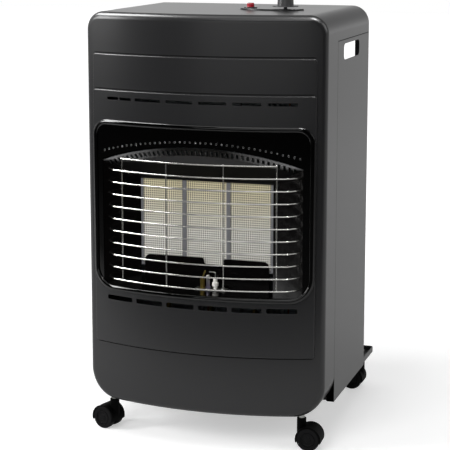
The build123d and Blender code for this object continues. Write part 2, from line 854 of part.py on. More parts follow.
slope_plane = Plane(
    origin=(0, burner_y, reflector_z),
    x_dir=(1, 0, 0),
    z_dir=(0, math.sin(math.radians(reflector_slope)), math.cos(math.radians(reflector_slope))),
)
reflector_plan = firebox_plan(reflector_z, burner_y + reflector_flange)
reflector_fold = box_between(
    (-firebox_half - cheek_spread, burner_y, reflector_z),
    (firebox_half + cheek_spread, burner_y + reflector_flange, reflector_z + reflector_sheet),
)
slope_run = (burner_depth + fascia_bow + surround_face) / math.cos(math.radians(reflector_slope))
slot_circle = bow_radius + firebox_proud - reflector_slot_setback
slot_angle = math.degrees(reflector_slot_pitch / slot_circle)
half_slot_arc = math.degrees(math.asin((aperture_half - reflector_slot_margin) / slot_circle))
slots_each_side = int(half_slot_arc / slot_angle)
with BuildPart() as reflector_top:
    with BuildSketch(slope_plane):
        Rectangle(cabinet_width, 2 * slope_run)
    extrude(amount=reflector_sheet)
    extrude(reflector_plan, amount=cabinet_top, mode=Mode.INTERSECT)
    add(reflector_fold)
    with BuildSketch(Plane.XY.offset(reflector_z + 2 * reflector_sheet)):
        with Locations((0, bow_centre)):
            with PolarLocations(
                slot_circle,
                2 * slots_each_side + 1,
                start_angle=-90 - slot_angle * slots_each_side,
                angular_range=2 * slot_angle * slots_each_side,
                endpoint=True,
            ):
                Rectangle(*reflector_slot)
    extrude(amount=cabinet_top, mode=Mode.SUBTRACT)
save(reflector_top.part, "reflector_top")

# Floor of the firebox, with a bowed flange down behind the fascia.
floor_plan = firebox_plan(aperture_foot - reflector_sheet, burner_y + reflector_flange)
flange_outline = rounded_outline(
    aperture_half - floor_flange_margin, aperture_foot - floor_flange, aperture_foot, floor_flange_corner, reflector_sheet / 2
)
floor_flange_front = bowed_block(flange_outline, firebox_proud, seam)
floor_flange_back = bowed_block(flange_outline, firebox_proud - reflector_sheet, seam)
with BuildPart() as reflector_floor:
    add(floor_flange_front)
    add(floor_flange_back, mode=Mode.SUBTRACT)
    extrude(floor_plan, amount=reflector_sheet)
    with BuildSketch(Plane.XY.offset(aperture_foot)):
        with Locations((pilot_cutout_x, pilot_y)):
            Rectangle(*pilot_cutout)
        with Locations((pilot_screw_x, pilot_y)):
            Circle(screw_hole)
    extrude(amount=-reflector_sheet, mode=Mode.SUBTRACT)
save(reflector_floor.part, "reflector_floor")

# Cheek: a flat side of the firebox, flanged along the burner and drilled for the guard's wires.
wire_heading = Vector(guard_end_x - guard_bend_x, guard_end_y - guard_y(guard_bend_x), 0)
cheek_flange = box_between(
    (firebox_half, burner_y, burner_foot),
    (firebox_half + reflector_sheet, burner_y + reflector_flange, burner_top),
)
with BuildPart() as reflector_right:
    with BuildSketch(Plane.XY.offset(aperture_foot)):
        with BuildLine():
            Polyline(
                (firebox_half, burner_y),
                (aperture_half, bow_y(aperture_half, firebox_proud)),
                (aperture_half + cheek_spread, bow_y(aperture_half + cheek_spread, firebox_proud)),
                (firebox_half + cheek_spread, burner_y),
                close=True,
            )
        make_face()
    extrude(amount=cabinet_top - aperture_foot)
    split(bisect_by=slope_plane, keep=Keep.BOTTOM)
    add(cheek_flange)
    with BuildSketch(Plane(origin=(guard_end_x, guard_end_y, 0), x_dir=(0, 0, 1), z_dir=wire_heading)):
        with Locations([(z, 0) for z in wire_heights]):
            Circle(wire_radius + guard_hole_gap)
    extrude(amount=fascia_return / 2, both=True, mode=Mode.SUBTRACT)
save(reflector_right.part, "reflector_right")

with BuildPart() as reflector_left:
    mirror(reflector_right.part, about=Plane.YZ)
save(reflector_left.part, "reflector_left")

# Baffle in front of the burner's lower edge, notched behind the pilot flame.
with BuildPart() as lower_baffle:
    with BuildSketch(front_view(burner_y - lay_gap)) as baffle:
        with Locations((0, (aperture_foot + baffle_top) / 2)):
            Rectangle(2 * baffle_half, baffle_height)
        fillet(baffle.vertices().group_by(Axis.Y)[-1], baffle_corner)
        with Locations((baffle_notch_x, baffle_top - baffle_notch[1] / 2)):
            Rectangle(*baffle_notch, mode=Mode.SUBTRACT)
        notch_corners = baffle.vertices().filter_by(lambda v: abs(v.X - baffle_notch_x) < baffle_notch[0])
        fillet(notch_corners, baffle_notch_round)
    extrude(amount=reflector_sheet)
save(lower_baffle.part, "lower_baffle")

# ================================================================ burner
frame_block = box_between(
    (-burner_half, burner_y, burner_foot), (burner_half, burner_y + burner_frame_depth, burner_top)
)
frame_hollow = box_between(
    (-burner_half + burner_sheet, plaque_y, burner_foot + burner_sheet),
    (burner_half - burner_sheet, burner_y + burner_frame_depth, burner_top - burner_sheet),
)
with BuildPart() as burner_frame:
    add(frame_block)
    add(frame_hollow, mode=Mode.SUBTRACT)
    with BuildSketch(front_view(plaque_y)):
        with Locations([(x, burner_mid) for x in burner_xs]):
            Rectangle(plaque_window, burner_height - 2 * burner_rim)
    extrude(amount=burner_sheet, mode=Mode.SUBTRACT)
save(burner_frame.part, "burner_frame")

plaque_half = plaque_window / 2 + plaque_lap
ceramic_plaques = group(
    box_between((x - plaque_half, plaque_y, plaque_foot), (x + plaque_half, shell_y, plaque_foot + plaque_height))
    for x in burner_xs
)
save(ceramic_plaques, "ceramic_plaques")


def burner_body(x):
    """Mixing chamber behind one plaque, fed by a flared venturi tube that points down."""
    outer = [
        (0, 0),
        (venturi_flare, 0),
        (venturi_radius, venturi_flare_height),
        (venturi_radius, venturi_length + shell_round),
        (0, venturi_length + shell_round),
    ]
    bore = [
        (0, 0),
        (venturi_flare - venturi_wall, 0),
        (venturi_radius - venturi_wall, venturi_flare_height),
        (venturi_radius - venturi_wall, venturi_length),
        (0, venturi_length),
    ]
    tube = turned(x, venturi_y, venturi_mouth, outer)
    throat = turned(x, venturi_y, venturi_mouth, bore)
    with BuildPart() as body:
        with BuildSketch(front_view(shell_y)):
            with Locations((x, burner_mid)):
                Rectangle(shell_width, plaque_height)
        extrude(amount=-shell_depth)
        fillet(body.faces().sort_by(Axis.Y)[-1].edges(), shell_round)
        add(tube)
        add(throat, mode=Mode.SUBTRACT)
    return body.part


save(group(burner_body(x) for x in burner_xs), "burner_bodies")

# Injector rail: hangs from the burner frame on two legs between the venturi tubes.
rail_front = venturi_y - rail_overhang
rail_half = burner_pitch + rail_end
with BuildPart() as injector_rail:
    add(
        box_between(
            (-rail_half, rail_front, rail_z - rail_sheet), (rail_half, venturi_y + rail_overhang, rail_z)
        )
    )
    for x in (-burner_pitch / 2, burner_pitch / 2):
        add(
            box_between(
                (x - rail_leg / 2, rail_front, rail_z - rail_sheet),
                (x + rail_leg / 2, rail_front + rail_sheet, burner_foot),
            )
        )
    with BuildSketch(Plane.XY.offset(rail_z)):
        with Locations([(x, venturi_y) for x in burner_xs]):
            Circle(shank_radius + screw_gap)
    extrude(amount=-rail_sheet, mode=Mode.SUBTRACT)
save(injector_rail.part, "injector_rail")


def injector(x):
    """Gas jet: a shank through the rail, a hexagon on it and a nozzle in the venturi's mouth."""
    with BuildPart() as jet:
        add(hex_prism(Plane((x, venturi_y, rail_z)), injector_hex, injector_hex_height))
        add(disc(x, venturi_y, rail_z + injector_hex_height, injector_radius, injector_height))
        chamfer(jet.faces().sort_by(Axis.Z)[-1].edges(), injector_chamfer)
        add(disc(x, venturi_y, shank_foot, shank_radius, shank_length))
    return jet.part


save(group(injector(x) for x in burner_xs), "injectors")


# ================================================================ guard
def long_wire(z):
    """Bowed wire whose ends turn back into the cheeks."""
    with BuildPart() as wire:
        with BuildLine(Plane.XY.offset(z)) as path:
            bow = ThreePointArc(
                (-guard_bend_x, guard_y(guard_bend_x)), (0, guard_y(0)), (guard_bend_x, guard_y(guard_bend_x))
            )
            Line(bow @ 0, (-guard_end_x, guard_end_y))
            Line(bow @ 1, (guard_end_x, guard_end_y))
            fillet(path.vertices().group_by(Axis.Y)[0], guard_bend_radius)
        route = path.wires()[0]
        with BuildSketch(across_from(route @ 0, route % 0)):
            Circle(wire_radius)
        sweep(path=route)
    return wire.part


def short_wire(z, half):
    """Bowed wire that ends at the outermost uprights."""
    with BuildPart() as wire:
        with BuildLine(Plane.XY.offset(z)) as path:
            ThreePointArc((-half, guard_y(half)), (0, guard_y(0)), (half, guard_y(half)))
        route = path.wires()[0]
        with BuildSketch(across_from(route @ 0, route % 0)):
            Circle(wire_radius)
        sweep(path=route)
    return wire.part


guard_wires = [long_wire(z) for z in wire_heights] + [short_wire(guard_top, upright_places[-1])]
save(group(guard_wires), "guard_wires")

# The uprights stand behind the bowed wires, towards the centre of the bow.
upright_setback = wire_radius + upright_radius + lay_gap
guard_uprights = group(
    disc(
        x - upright_setback * x / guard_bow_radius,
        guard_y(x) + upright_setback * math.sqrt(1 - (x / guard_bow_radius) ** 2),
        guard_foot - wire_radius,
        upright_radius,
        guard_top - guard_foot + 2 * wire_radius,
    )
    for x in upright_places
)
save(guard_uprights, "guard_uprights")

# ================================================================ pilot
with BuildPart() as pilot_bracket:
    with BuildSketch(Plane.XY.offset(aperture_foot)):
        with Locations((pilot_bracket_x, pilot_y)):
            RectangleRounded(*pilot_bracket_size[:2], pilot_bracket_round)
        with Locations((electrode_x, pilot_y)):
            Circle(insulator_radius + screw_gap, mode=Mode.SUBTRACT)
        with Locations((thermocouple_x, pilot_y)):
            Circle(probe_radius + screw_gap, mode=Mode.SUBTRACT)
        with Locations((pilot_x, pilot_y)):
            Circle(pilot_tube_radius + screw_gap, mode=Mode.SUBTRACT)
        with Locations((pilot_screw_x, pilot_y)):
            Circle(screw_hole, mode=Mode.SUBTRACT)
    extrude(amount=pilot_bracket_size[2])
save(pilot_bracket.part, "pilot_bracket")

# The nozzle leans over towards the thermocouple.
nozzle_foot = pilot_bracket_top + pilot_hex_height
nozzle = tube_along(
    [
        (pilot_x, pilot_y, nozzle_foot),
        (pilot_x, pilot_y, nozzle_foot + nozzle_rise[0]),
        (pilot_x + nozzle_lean, pilot_y, nozzle_foot + nozzle_rise[1]),
    ],
    nozzle_radius,
    nozzle_bend,
)
with BuildPart() as pilot_burner:
    add(disc(pilot_x, pilot_y, pilot_foot, pilot_tube_radius, pilot_bracket_top - pilot_foot))
    add(hex_prism(Plane((pilot_x, pilot_y, pilot_bracket_top)), pilot_hex, pilot_hex_height))
    add(nozzle)
save(pilot_burner.part, "pilot_burner")

electrode_foot = insulator_top - electrode_seat
collar_foot, collar_top = (pilot_bracket_top + height for height in collar_heights)
with BuildPart() as spark_insulator:
    add(disc(electrode_x, pilot_y, collar_foot, insulator_collar, collar_top - collar_foot))
    fillet(spark_insulator.edges(), insulator_round)
    add(disc(electrode_x, pilot_y, collar_foot, insulator_crown, insulator_top - collar_foot))
    fillet(spark_insulator.faces().sort_by(Axis.Z)[-1].edges(), insulator_round)
    add(disc(electrode_x, pilot_y, pilot_foot, insulator_radius, collar_foot - pilot_foot))
    add(disc(electrode_x, pilot_y, electrode_foot, electrode_radius, electrode_seat), mode=Mode.SUBTRACT)
save(spark_insulator.part, "spark_insulator")

spark_electrode = tube_along(
    [
        (electrode_x, pilot_y, electrode_foot),
        (electrode_x, pilot_y, insulator_top + electrode_rise),
        (electrode_x - electrode_reach, pilot_y, insulator_top + electrode_rise),
    ],
    electrode_radius,
    electrode_bend,
)
save(spark_electrode, "spark_electrode")

with BuildPart() as thermocouple:
    add(disc(thermocouple_x, pilot_y, pilot_foot, probe_radius, pilot_bracket_top + probe_height - pilot_foot))
    fillet(thermocouple.faces().sort_by(Axis.Z)[-1].edges(), probe_round)
    add(hex_prism(Plane((thermocouple_x, pilot_y, pilot_bracket_top)), *probe_nut))
save(thermocouple.part, "thermocouple")

# ================================================================ controls
escutcheon_mid = sum(escutcheon_ends) / 2
with BuildPart() as control_escutcheon:
    with BuildSketch(Plane.XY.offset(cabinet_top)) as boat:
        with BuildLine():
            for side in (-1, 1):
                ThreePointArc(
                    (escutcheon_ends[0], control_y),
                    (escutcheon_mid, control_y + side * escutcheon_half_depth),
                    (escutcheon_ends[1], control_y),
                )
        make_face()
        fillet(boat.vertices(), escutcheon_tip)
    extrude(amount=escutcheon_thickness)
    fillet(control_escutcheon.faces().sort_by(Axis.Z)[-1].edges(), escutcheon_round)
    with BuildSketch(Plane.XY.offset(plate_top)):
        with Locations((knob_x, control_y)):
            Circle(spindle_radius + spindle_clearance)
        with Locations((button_x, control_y)):
            Circle(igniter_radius + screw_gap)
    extrude(amount=-escutcheon_thickness, mode=Mode.SUBTRACT)
save(control_escutcheon.part, "control_escutcheon")


def flatted_round(z, radius):
    """Round section at the knob with the flat that turns the spindle."""
    with BuildSketch(Plane.XY.offset(z)) as section:
        with Locations((knob_x, control_y)):
            Circle(radius)
        with Locations((knob_x, control_y + 2 * radius - spindle_flat)):
            Rectangle(2 * radius, 2 * radius, mode=Mode.SUBTRACT)
    return section.sketch


spindle_foot = valve_boss_top - spindle_in_valve + knob_travel + collar_gap
spindle_top = knob_foot + spindle_entry
flatted_spindle = flatted_round(cabinet_top, spindle_radius)
with BuildPart() as valve_spindle:
    add(disc(knob_x, control_y, spindle_foot, spindle_radius, cabinet_top - spindle_foot))
    extrude(flatted_spindle, amount=spindle_top - cabinet_top)
save(valve_spindle.part, "valve_spindle")

spindle_collar = turned(
    knob_x,
    control_y,
    valve_boss_top + knob_travel + collar_gap,
    [
        (spindle_radius + running_gap, 0),
        (collar_radius, 0),
        (collar_radius, collar_height),
        (spindle_radius + running_gap, collar_height),
    ],
)
save(spindle_collar, "spindle_collar")

# Knob: a scalloped grip on a thin skirt, with a recess for its cap.
knob_blank = turned(
    knob_x,
    control_y,
    knob_foot,
    [
        (0, 0),
        (knob_skirt_radius, 0),
        (knob_skirt_radius, knob_skirt),
        (knob_radius, knob_skirt),
        (knob_top_radius, knob_height),
        (0, knob_height),
    ],
)
knob_bore = flatted_round(knob_foot, spindle_radius + running_gap)
with BuildPart() as control_knob:
    add(knob_blank)
    fillet(control_knob.faces().sort_by(Axis.Z)[-1].edges(), knob_top_round)
    with BuildSketch(Plane.XY.offset(knob_foot + knob_skirt)):
        with Locations((knob_x, control_y)):
            with PolarLocations(knob_radius + scallop_radius - scallop_bite, scallop_count):
                Circle(scallop_radius)
    extrude(amount=knob_height, mode=Mode.SUBTRACT)
    add(disc(knob_x, control_y, knob_top, knob_cap_radius + running_gap, -knob_cap_height), mode=Mode.SUBTRACT)
    extrude(knob_bore, amount=spindle_entry + running_gap, mode=Mode.SUBTRACT)
save(control_knob.part, "control_knob")

with BuildPart() as knob_cap:
    add(disc(knob_x, control_y, knob_top - knob_cap_height, knob_cap_radius, knob_cap_height))
    with Locations((knob_x, control_y - knob_cap_radius / 2, knob_top)):
        Box(pointer_width, knob_cap_radius - pointer_width, knob_cap_height)
save(knob_cap.part, "knob_cap")

# Igniter: a bezel on the escutcheon, a barrel under it and a terminal for the spark lead.
igniter_foot = plate_top - igniter_length
with BuildPart() as igniter_body:
    add(disc(button_x, control_y, plate_top, bezel_radius, bezel_height))
    chamfer(igniter_body.faces().sort_by(Axis.Z)[-1].edges(), bezel_chamfer)
    add(disc(button_x, control_y, igniter_foot, igniter_radius, igniter_length))
    add(disc(button_x, control_y, igniter_foot, terminal_radius, -terminal_length))
    add(
        disc(button_x, control_y, bezel_top, button_radius + 2 * running_gap, -button_bore_depth),
        mode=Mode.SUBTRACT,
    )
save(igniter_body.part, "igniter_body")

with BuildPart() as igniter_button:
    add(disc(button_x, control_y, bezel_top - button_skirt, button_radius, button_skirt + button_height))
    fillet(igniter_button.faces().sort_by(Axis.Z)[-1].edges(), button_radius / 3)
save(igniter_button.part, "igniter_button")

# ================================================================ gas train
with BuildPart() as gas_valve:
    with Locations((knob_x, control_y, valve_z)):
        Box(*valve_size)
    fillet(gas_valve.edges(), valve_round)
    add(disc(knob_x, control_y, valve_z, valve_boss_radius, valve_boss_top - valve_z))
    with BuildSketch(front_view(control_y)):
        with Locations([(x, valve_z) for x in socket_xs]):
            Circle(socket_radius)
    extrude(amount=control_y - socket_y)
    add(disc(knob_x, control_y, valve_boss_top, spindle_radius + running_gap, -spindle_in_valve), mode=Mode.SUBTRACT)
save(gas_valve.part, "gas_valve")

# Valve bracket: a folded channel under the valve, hung from the underside of the top cover.
cover_under = cabinet_top - sheet
channel_half = valve_size[0] / 2 + lay_gap
valve_bracket = bent_strip(
    front_view(control_y + bracket_width / 2),
    [
        (knob_x + channel_half + bracket_flange, cover_under - bracket_sheet),
        (knob_x + channel_half, cover_under - bracket_sheet),
        (knob_x + channel_half, valve_foot),
        (knob_x - channel_half, valve_foot),
        (knob_x - channel_half, cover_under - bracket_sheet),
        (knob_x - channel_half - bracket_flange, cover_under - bracket_sheet),
    ],
    bracket_sheet,
    bracket_width,
)
save(valve_bracket, "valve_bracket")

valve_rear = control_y + valve_size[1] / 2
with BuildPart() as hose_tail:
    add(hex_prism(across_from((knob_x, valve_rear, valve_z), (0, 1, 0)), hose_hex, hose_hex_length))
    with BuildSketch(across_from((knob_x, valve_rear + hose_hex_length, valve_z), (0, 1, 0))):
        Circle(hose_tail_radius)
    extrude(amount=hose_tail_length + hose_tail_tip)
    chamfer(hose_tail.faces().sort_by(Axis.Y)[-1].edges(), hose_tail_tip)
save(hose_tail.part, "hose_tail")


def pipe_route(socket_x, run_z, end_x, end_y, end_z):
    """From a valve socket down behind the burner, across, forward and up to a fitting."""
    return [
        (socket_x, socket_y, valve_z),
        (socket_x, pipe_y, valve_z),
        (socket_x, pipe_y, run_z),
        (end_x, pipe_y, run_z),
        (end_x, end_y, run_z),
        (end_x, end_y, end_z),
    ]


for i, name in enumerate(("left", "middle", "right")):
    route = pipe_route(socket_xs[i], run_heights[i], burner_xs[i], venturi_y, shank_foot)
    save(tube_along(route, pipe_radius), f"burner_pipe_{name}")

pilot_pipe = tube_along(
    pipe_route(socket_xs[-2], run_heights[-2], pilot_x, pilot_y, pilot_foot), pilot_pipe_radius
)
save(pilot_pipe, "pilot_pipe")

thermocouple_lead = tube_along(
    pipe_route(socket_xs[-1], run_heights[-1], thermocouple_x, pilot_y, pilot_foot), thermocouple_lead_radius
)
save(thermocouple_lead, "thermocouple_lead")

igniter_lead_y = front + igniter_lead_depth
igniter_run_height = rail_z - igniter_run_drop
terminal_foot = igniter_foot - terminal_length
igniter_lead = tube_along(
    [
        (button_x, control_y, terminal_foot),
        (button_x, control_y, terminal_foot - igniter_lead_drop),
        (button_x, igniter_lead_y, terminal_foot - igniter_lead_drop),
        (button_x, igniter_lead_y, igniter_run_height),
        (electrode_x, igniter_lead_y, igniter_run_height),
        (electrode_x, pilot_y, igniter_run_height),
        (electrode_x, pilot_y, pilot_foot),
    ],
    igniter_lead_radius,
)
save(igniter_lead, "igniter_lead")


def pipe_nut(place, direction, radius):
    """Union nut round the end of one pipe."""
    return hex_prism(across_from(place, direction), nut_across, nut_length, radius + running_gap)


valve_line_radii = (pipe_radius, pipe_radius, pipe_radius, pilot_pipe_radius, thermocouple_lead_radius)
pipe_nuts = group(
    [pipe_nut((x, socket_y, valve_z), (0, -1, 0), radius) for x, radius in zip(socket_xs, valve_line_radii)]
    + [pipe_nut((x, venturi_y, shank_foot), (0, 0, -1), pipe_radius) for x in burner_xs]
    + [pipe_nut((pilot_x, pilot_y, pilot_foot), (0, 0, -1), pilot_pipe_radius)]
)
save(pipe_nuts, "pipe_nuts")


# ================================================================ fasteners
def screw(place, direction):
    """Pan-head screw: the head stands on place along direction, the shank runs the other way."""
    plane = across_from(place, direction)
    with BuildPart() as piece:
        with BuildSketch(plane):
            Circle(screw_head_radius)
        extrude(amount=screw_head_height)
        crown = piece.edges().sort_by(lambda e: (e.center() - plane.origin).dot(plane.z_dir))[-1]
        fillet(crown, screw_head_round)
        with BuildSketch(plane):
            Circle(screw_radius)
        extrude(amount=-screw_length)
    return piece.part


cabinet_screws = group(
    [screw((x, seam + sheet, z), (0, 1, 0)) for x, z in seam_screws + top_screws]
    + [screw((x, y, cover_foot - sheet), (0, 0, -1)) for x, y in flange_screws]
    + [screw((x, y, panel_foot), (0, 0, -1)) for x, y in flange_screws]
    + [screw((x, y, tray_floor + sheet), (0, 0, 1)) for x, y in shield_screws]
    + [screw((pilot_screw_x, pilot_y, pilot_bracket_top), (0, 0, 1))]
)
save(cabinet_screws, "cabinet_screws")


# ================================================================ castors
def axle_view(corner):
    """Side-view plane of one castor: x along its trail, y up, origin on the axle."""
    x, y = castor_places[corner]
    heading = math.radians(castor_headings[corner])
    trail = Vector(math.cos(heading), math.sin(heading), 0)
    return Plane(
        origin=Vector(x, y, wheel_radius) + castor_trail * trail,
        x_dir=trail,
        z_dir=(trail.Y, -trail.X, 0),
    )


def drum_above(plane, radius, drop):
    """Side-view disc of one radius, cut off level at a drop below the axle."""
    with BuildSketch(plane) as profile:
        Circle(radius)
        with Locations((0, -drop - radius)):
            Rectangle(2 * radius, 2 * radius, mode=Mode.SUBTRACT)
    return profile.sketch


def castor_hood(corner):
    """Half-round hood over both wheels, with a web between them and a neck for the stem."""
    plane = axle_view(corner)
    shell = drum_above(plane, hood_radius, hood_drop)
    web = drum_above(plane, hood_radius - hood_wall / 2, castor_web_drop)
    neck = disc(*castor_places[corner], neck_top, neck_radius, wheel_radius - neck_top)
    swivel_bore = disc(
        *castor_places[corner], neck_top, swivel_radius + running_gap, -swivel_depth - swivel_gap
    )
    with BuildPart() as hood:
        extrude(shell, amount=castor_width / 2, both=True)
        add(neck)
        for side in (-1, 1):
            with BuildSketch(plane.offset(side * castor_web / 2)):
                Circle(hood_radius - hood_wall)
            extrude(amount=side * castor_width, mode=Mode.SUBTRACT)
        extrude(web, amount=castor_web / 2, both=True)
        add(swivel_bore, mode=Mode.SUBTRACT)
        with BuildSketch(plane):
            Circle(axle_radius + running_gap / 2)
        extrude(amount=castor_web, both=True, mode=Mode.SUBTRACT)
    return hood.part


def castor_wheel(corner, side):
    """Solid wheel with a blind bore on its inner face and a shallow recess outside."""
    face = axle_view(corner).offset(side * (castor_web / 2 + wheel_gap))
    wheel_width = (castor_width - castor_web) / 2 - 2 * wheel_gap
    with BuildPart() as wheel:
        with BuildSketch(face):
            Circle(wheel_radius)
        extrude(amount=side * wheel_width)
        fillet(wheel.edges().filter_by(GeomType.CIRCLE), wheel_round)
        with BuildSketch(face.offset(side * wheel_width)):
            Circle(hub_recess[0])
        extrude(amount=-side * hub_recess[1], mode=Mode.SUBTRACT)
        with BuildSketch(face):
            Circle(axle_radius + running_gap)
        extrude(amount=side * (axle_entry + wheel_gap), mode=Mode.SUBTRACT)
    return wheel.part


def castor_axle(corner):
    """Axle through the web, with one end in each wheel."""
    with BuildPart() as axle:
        with BuildSketch(axle_view(corner)):
            Circle(axle_radius)
        extrude(amount=castor_web / 2 + wheel_gap + axle_entry, both=True)
    return axle.part


def castor_stem(x, y):
    """Swivel pin, collar, hexagon under the tray and threaded stud above it."""
    with BuildPart() as stem:
        add(disc(x, y, neck_top - swivel_depth, swivel_radius, castor_collar_top - neck_top + swivel_depth))
        add(disc(x, y, neck_top + swivel_gap, castor_collar_radius, castor_collar_top - neck_top - swivel_gap))
        add(hex_prism(Plane((x, y, castor_collar_top)), castor_hex, tray_under - castor_collar_top))
        add(disc(x, y, tray_under, stud_radius, tray_sheet + stud_height))
    return stem.part


for corner in castor_places:
    save(castor_hood(corner), f"castor_hood_{corner}")
    save(castor_axle(corner), f"castor_axle_{corner}")
    save(castor_wheel(corner, -1), f"castor_wheel_{corner}_a")
    save(castor_wheel(corner, 1), f"castor_wheel_{corner}_b")
save(group(castor_stem(x, y) for x, y in castor_places.values()), "castor_stems")
castor_nuts = group(
    hex_prism(Plane((x, y, tray_floor)), castor_nut, castor_nut_height, stud_radius + running_gap)
    for x, y in castor_places.values()
)
save(castor_nuts, "castor_nuts")
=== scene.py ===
"""Finishes, small parts, light and camera of the cabinet heater.

Frame: metres, +X right as seen from the front, -Y towards the room, +Z up, floor at zero.
"""
import math

import bmesh
import bpy
from mathutils import Matrix, Vector


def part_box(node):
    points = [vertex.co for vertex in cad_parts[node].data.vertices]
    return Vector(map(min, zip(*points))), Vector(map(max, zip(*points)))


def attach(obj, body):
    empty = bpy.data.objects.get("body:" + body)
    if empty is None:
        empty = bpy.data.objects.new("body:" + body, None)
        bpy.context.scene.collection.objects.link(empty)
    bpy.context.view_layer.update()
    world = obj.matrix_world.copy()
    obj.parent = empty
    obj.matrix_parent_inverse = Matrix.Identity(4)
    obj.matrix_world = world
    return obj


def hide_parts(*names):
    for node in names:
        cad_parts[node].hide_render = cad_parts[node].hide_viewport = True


MM = 0.001

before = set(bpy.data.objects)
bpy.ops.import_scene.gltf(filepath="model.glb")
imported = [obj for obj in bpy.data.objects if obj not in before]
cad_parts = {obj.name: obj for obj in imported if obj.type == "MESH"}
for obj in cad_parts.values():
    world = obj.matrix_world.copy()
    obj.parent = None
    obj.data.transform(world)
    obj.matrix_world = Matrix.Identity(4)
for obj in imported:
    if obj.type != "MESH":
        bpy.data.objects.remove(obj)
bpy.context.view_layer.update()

# Edges of the side panels.
PANEL_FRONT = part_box("right_side_panel")[0][1]
PANEL_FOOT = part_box("right_side_panel")[0][2]
PANEL_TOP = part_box("right_side_panel")[1][2]

# Pressed steps of the fascia.
STEP_TOPS = (661.0 * MM, 601.0 * MM)
STEP_FOOT = 163.0 * MM
STEP_HALF = 195.0 * MM          # half of their width

SHEET = 1.2 * MM                # thickness of the cabinet's steel
SEAM = -97.75 * MM              # joint between the fascia and the side panels
TRAY_FLOOR = 67.3 * MM
COVER_FOOT = 685.0 * MM
COVER_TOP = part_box("top_cover")[1][2]
ESCUTCHEON_FACE = 733.4 * MM

# Bow of the fascia and of all that follows it, and the circle of the upper reflector's slots.
BOW_CENTRE = 335.25 * MM
BOW_RADIUS = 546.0 * MM
SLOT_CIRCLE = 541.75 * MM

# Castors: X and Y of the stem, and the angle in degrees to which the wheels trail.
CASTORS = {
    "front_left": (-170 * MM, -160.75 * MM, 165),
    "front_right": (170 * MM, -160.75 * MM, 3),
    "rear_left": (-190 * MM, 198.25 * MM, -20),
    "rear_right": (190 * MM, 198.25 * MM, 180),
}

# ------------------------------------------------------------------ camera
CAMERA_PLACE = (0.79192, -2.50247, 0.8756)
CAMERA_TURN = math.radians(17.94)       # to the left of straight ahead
CAMERA_TILT = math.radians(9.739)       # below level
CAMERA_LENS = 119.42                    # mm on a 36 mm sensor
CAMERA_SHIFT = -0.1                     # of the frame's height

lens = bpy.data.cameras.new("room_camera")
lens.lens = CAMERA_LENS
lens.sensor_width = 36
lens.shift_y = CAMERA_SHIFT
lens.clip_start = 0.05
lens.clip_end = 50
camera = bpy.data.objects.new("room_camera", lens)
camera.location = CAMERA_PLACE
camera.rotation_euler = (math.pi / 2 - CAMERA_TILT, 0, CAMERA_TURN)
bpy.context.scene.collection.objects.link(camera)
bpy.context.scene.camera = camera
bpy.context.scene.view_settings.view_transform = "Standard"


# ------------------------------------------------------------------ helpers
def linear(hex_code):
    """Linear colour of an sRGB hex code."""

    def channel(pair):
        value = int(pair, 16) / 255
        return value / 12.92 if value <= 0.04045 else ((value + 0.055) / 1.055) ** 2.4

    return (channel(hex_code[1:3]), channel(hex_code[3:5]), channel(hex_code[5:7]), 1.0)


def add_node(tree, kind, inputs=None, **settings):
    """Add a node with its settings; an input is set to a value, or linked when given a socket."""
    node = tree.nodes.new(kind)
    for name, value in settings.items():
        setattr(node, name, value)
    for name, value in (inputs or {}).items():
        if isinstance(value, bpy.types.NodeSocket):
            tree.links.new(value, node.inputs[name])
        else:
            node.inputs[name].default_value = value
    return node


def start_material(name, colour, roughness, **sockets):
    """New material with a Principled shader; returns its tree, the shader and Object coordinates."""
    material = bpy.data.materials.new(name)
    material.use_nodes = True
    tree = material.node_tree
    shader = tree.nodes["Principled BSDF"]
    shader.inputs["Base Color"].default_value = linear(colour)
    shader.inputs["Roughness"].default_value = roughness
    for socket, value in sockets.items():
        shader.inputs[socket.replace("_", " ")].default_value = value
    coords = add_node(tree, "ShaderNodeTexCoord").outputs["Object"]
    return tree, shader, coords


def dress(material_name, *nodes):
    """Give CAD nodes a finish."""
    for node in nodes:
        for material_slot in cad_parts[node].material_slots:
            material_slot.material = bpy.data.materials[material_name]


# ------------------------------------------------------------------ finishes
# Sockets of a Mix node of colours, which go by number because their names repeat.
FACTOR, COLOUR_A, COLOUR_B, MIXED = 0, 6, 7, 2


def grained(name, colour, roughness, grain, detail, depth, strength=1.0, **sockets):
    """Finish with a random relief, whose grain has a real size and a real depth."""
    tree, shader, coords = start_material(name, colour, roughness, **sockets)
    pattern = add_node(tree, "ShaderNodeTexNoise", {"Vector": coords, "Scale": 1 / grain, "Detail": detail})
    bump = add_node(
        tree,
        "ShaderNodeBump",
        {"Height": pattern.outputs["Fac"], "Distance": depth, "Strength": strength},
    )
    tree.links.new(bump.outputs["Normal"], shader.inputs["Normal"])


def mottled(name, colour, roughness, patch, detail, shades, **sockets):
    """Finish whose colour drifts between two shades, in patches of a real size."""
    tree, shader, coords = start_material(name, colour, roughness, **sockets)
    pattern = add_node(tree, "ShaderNodeTexNoise", {"Vector": coords, "Scale": 1 / patch, "Detail": detail})
    drift = add_node(
        tree,
        "ShaderNodeMix",
        {FACTOR: pattern.outputs["Fac"], COLOUR_A: linear(shades[0]), COLOUR_B: linear(shades[1])},
        data_type="RGBA",
    )
    tree.links.new(drift.outputs[MIXED], shader.inputs["Base Color"])


